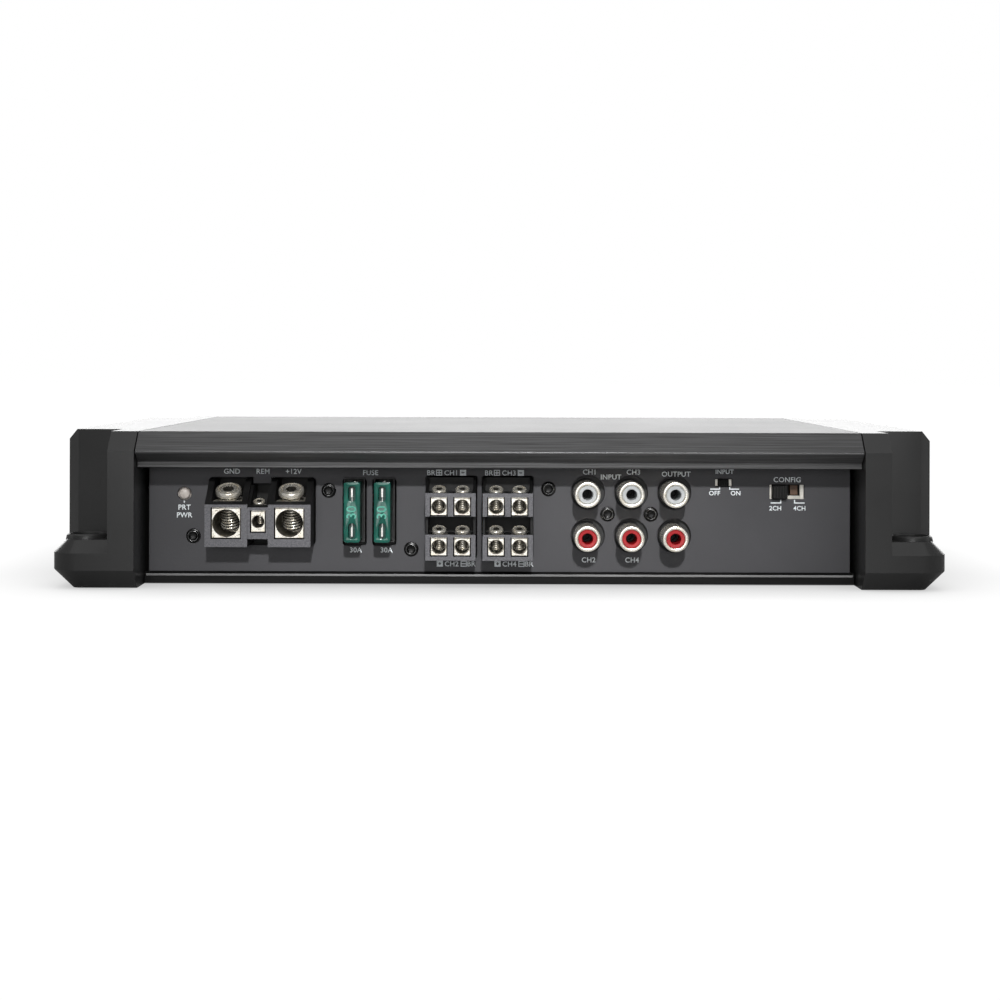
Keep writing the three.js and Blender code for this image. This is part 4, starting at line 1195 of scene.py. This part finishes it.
for node in knob_nodes:
    low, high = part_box(node)
    x, z = (low.x + high.x) / 2, (low.z + high.z) / 2
    depth = high.y - low.y
    rings = rings_at([
        (0, -depth), (knob_radius * 0.9, -depth), (knob_radius, -depth + 0.3 * MM), (knob_radius, -2.1 * MM),
        (knob_radius, -0.35 * MM), (knob_radius * 0.95, -0.08 * MM), (knob_radius * 0.88, 0), (0, 0),
    ], 48)
    turned_mesh = ringed(f"{node}_turned", rings, lying(x, high.y, z, -90))
    knob = add_object(f"{node}_turned", turned_mesh, knob_plastic)
    slot = box_piece("slot", [
        ((x - 2.55 * MM, high.y - 1.1 * MM, z - 0.5 * MM), (x + 2.55 * MM, high.y + 1 * MM, z + 0.5 * MM)),
    ], knob_plastic)
    carve = knob.modifiers.new("slot", "BOOLEAN")
    carve.object = slot
    carve.operation = "DIFFERENCE"
    carve.solver = "EXACT"
    settled(knob)
    bpy.data.objects.remove(slot)
    smooth(knob.data)
    show(knob, "socket_black", node, body=f"{node}_body")

far_print = Print(facing(1, far_high.y + INK_DEPTH / 2))
for text, x in (("GAIN", -60), ("FREQ", -34), ("FREQ", 34), ("GAIN", 60), ("FILTER", -84), ("FILTER", 84)):
    far_print.word(text, -x, 31.5)
for x in (-60, -34, 34, 60):
    for step in range(11):
        angle = math.radians(-60 + step * 30)
        reach_x, reach_z = 5.4 * math.cos(angle), 5.4 * math.sin(angle)
        far_print.stroke(-x + reach_x - 0.2, -x + reach_x + 0.2, 22 + reach_z - 0.2, 22 + reach_z + 0.2)
    far_print.word("MIN", -x - 5.2, 14.4, 1.3)
    far_print.word("MAX", -x + 5.2, 14.4, 1.3)
for x in (-84, 84):
    for text, shift in (("LP", -4.6), ("OFF", 0), ("HP", 4.6)):
        far_print.word(text, -x + shift, 17.2, 1.4)
for text, x in (("CH1/2", 47), ("CH3/4", -47)):
    far_print.word(text, x, 36.5, 1.9)
far_print.piece("control_panel_lettering")

# ---- Inside ----
# A green circuit board on four standoffs carries the toroidal transformer, two storage capacitors
# and the control board; two clamp bars press the power transistors up against the heatsink.
solder_mask = Finish("green_solder_mask", Coat_Weight=0.3)
weave = solder_mask.noise(1.0, 3, (700, 90, 300))
copper_areas = solder_mask.noise(55, 1)
solder_mask.set("Base Color", copper_areas.over(0.47, 0.53).mix((0.006, 0.06, 0.03, 1), (0.014, 0.12, 0.06, 1)))
solder_mask.set("Roughness", 0.26 + 0.2 * weave)
for node, name in (("circuit_board", "main_board"), ("control_board", "upright_board")):
    dressed_solid(name, node, solder_mask.material, "board_green", 0.12 * MM)

enamel = mottled(
    "enamelled_copper_wire", 120, 3, (0.32, 0.075, 0.02, 1), (0.55, 0.17, 0.05, 1), 0.2, Metallic=0.9,
    Coat_Weight=0.5,
)
low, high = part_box("power_transformer")
ring_centre = (low + high) / 2
wire_radius = (high.z - low.z) / 2
ring_radius = (high.x - low.x) / 2 - wire_radius
turns = 64
shape = bmesh.new()
rows = []
strand = 10
for step in range(turns * strand):
    along = 2 * math.pi * step / (turns * strand)
    swell = wire_radius - 0.35 * MM * (1 - abs(math.sin(math.pi * step / strand)))
    rows.append([
        shape.verts.new((
            ring_centre.x + (ring_radius + swell * math.cos(2 * math.pi * side / 24)) * math.cos(along),
            ring_centre.y + (ring_radius + swell * math.cos(2 * math.pi * side / 24)) * math.sin(along),
            ring_centre.z + swell * math.sin(2 * math.pi * side / 24),
        )) for side in range(24)
    ])
for i, ring in enumerate(rows):
    following = rows[(i + 1) % len(rows)]
    for j in range(24):
        shape.faces.new((ring[j], following[j], following[(j + 1) % 24], ring[(j + 1) % 24]))
bmesh.ops.recalc_face_normals(shape, faces=shape.faces)
winding_mesh = poured(shape, bpy.data.meshes.new("transformer_winding"))
smooth(winding_mesh, 60)
winding = add_object("transformer_winding", winding_mesh, enamel)
show(winding, "copper_winding", "power_transformer")

sleeve_film = mottled(
    "dark_blue_capacitor_sleeve", 90, 3, (0.008, 0.013, 0.03, 1), (0.015, 0.025, 0.055, 1), 0.22, 0.15,
    Coat_Weight=0.4,
)
for side in ("left", "right"):
    low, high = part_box(f"capacitor_{side}")
    middle = (low + high) / 2
    radius = (high.x - low.x) / 2
    height = high.z - low.z
    rings = rings_at([
        (0, 0), (radius * 0.9, 0), (radius, 0.8 * MM), (radius, 2.6 * MM), (radius * 0.94, 3.2 * MM),
        (radius, 3.8 * MM), (radius, height - 0.7 * MM), (radius * 0.95, height),
        (radius * 0.84, height - 0.05 * MM),
        (radius * 0.8, height - 0.5 * MM), (0, height - 0.5 * MM),
    ], 64)
    name = f"capacitor_{side}_can"
    can = add_object(name, ringed(name, rings, Matrix.Translation((middle.x, middle.y, low.z))), sleeve_film)
    show(can, "capacitor_sleeve", f"capacitor_{side}")

bar_steel = mottled(
    "zinc_plated_bar", 60, 5, grey(0.4, (1, 1, 0.98)), grey(0.62, (1, 1, 0.98)), 0.3, Metallic=1.0,
)
for place in ("front", "rear"):
    dressed_solid(f"clamp_bar_{place}", f"transistor_bar_{place}", bar_steel, "base_steel", 0.2 * MM)

# ---- Base and control-panel screws ----
# Eight flat screws hold the base to the caps and the heatsink from below; six button heads hold
# the control panel.
base_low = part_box("base_plate")[0]
flat_screw = ringed("base_screw", rings_at([
    (0, 1.2 * MM), (1.4 * MM, 1.2 * MM), (1.5 * MM, 0.35 * MM), (2.9 * MM, 0.02 * MM), (2.9 * MM, -0.1 * MM),
    (2.6 * MM, -0.25 * MM), (1.3 * MM, -0.27 * MM), (1.15 * MM, -0.2 * MM, HEX), (1.1 * MM, 0.6 * MM, HEX),
    (0, 0.7 * MM),
], 24))
base_points = [
    (x * MM, y * MM, base_low.z)
    for y in (-58, 58) for x in (-106, -36, 36, 106)
]
row_of("base_screws", flat_screw, base_points, black_oxide.material, 0.0, 2)
far_screw = rim_highlighted_screw("far_screw", head_rings, 1.5 * MM, 1.4 * MM, 1.65 * MM, -90)
far_points = [(x * MM, far_high.y, z * MM) for x, z in (
    (-106, 30), (-47, 22), (0, 30), (47, 22), (106, 30), (0, 12),
)]
row_of("control_panel_screws", far_screw, far_points, black_oxide.material, 1.2, 9)
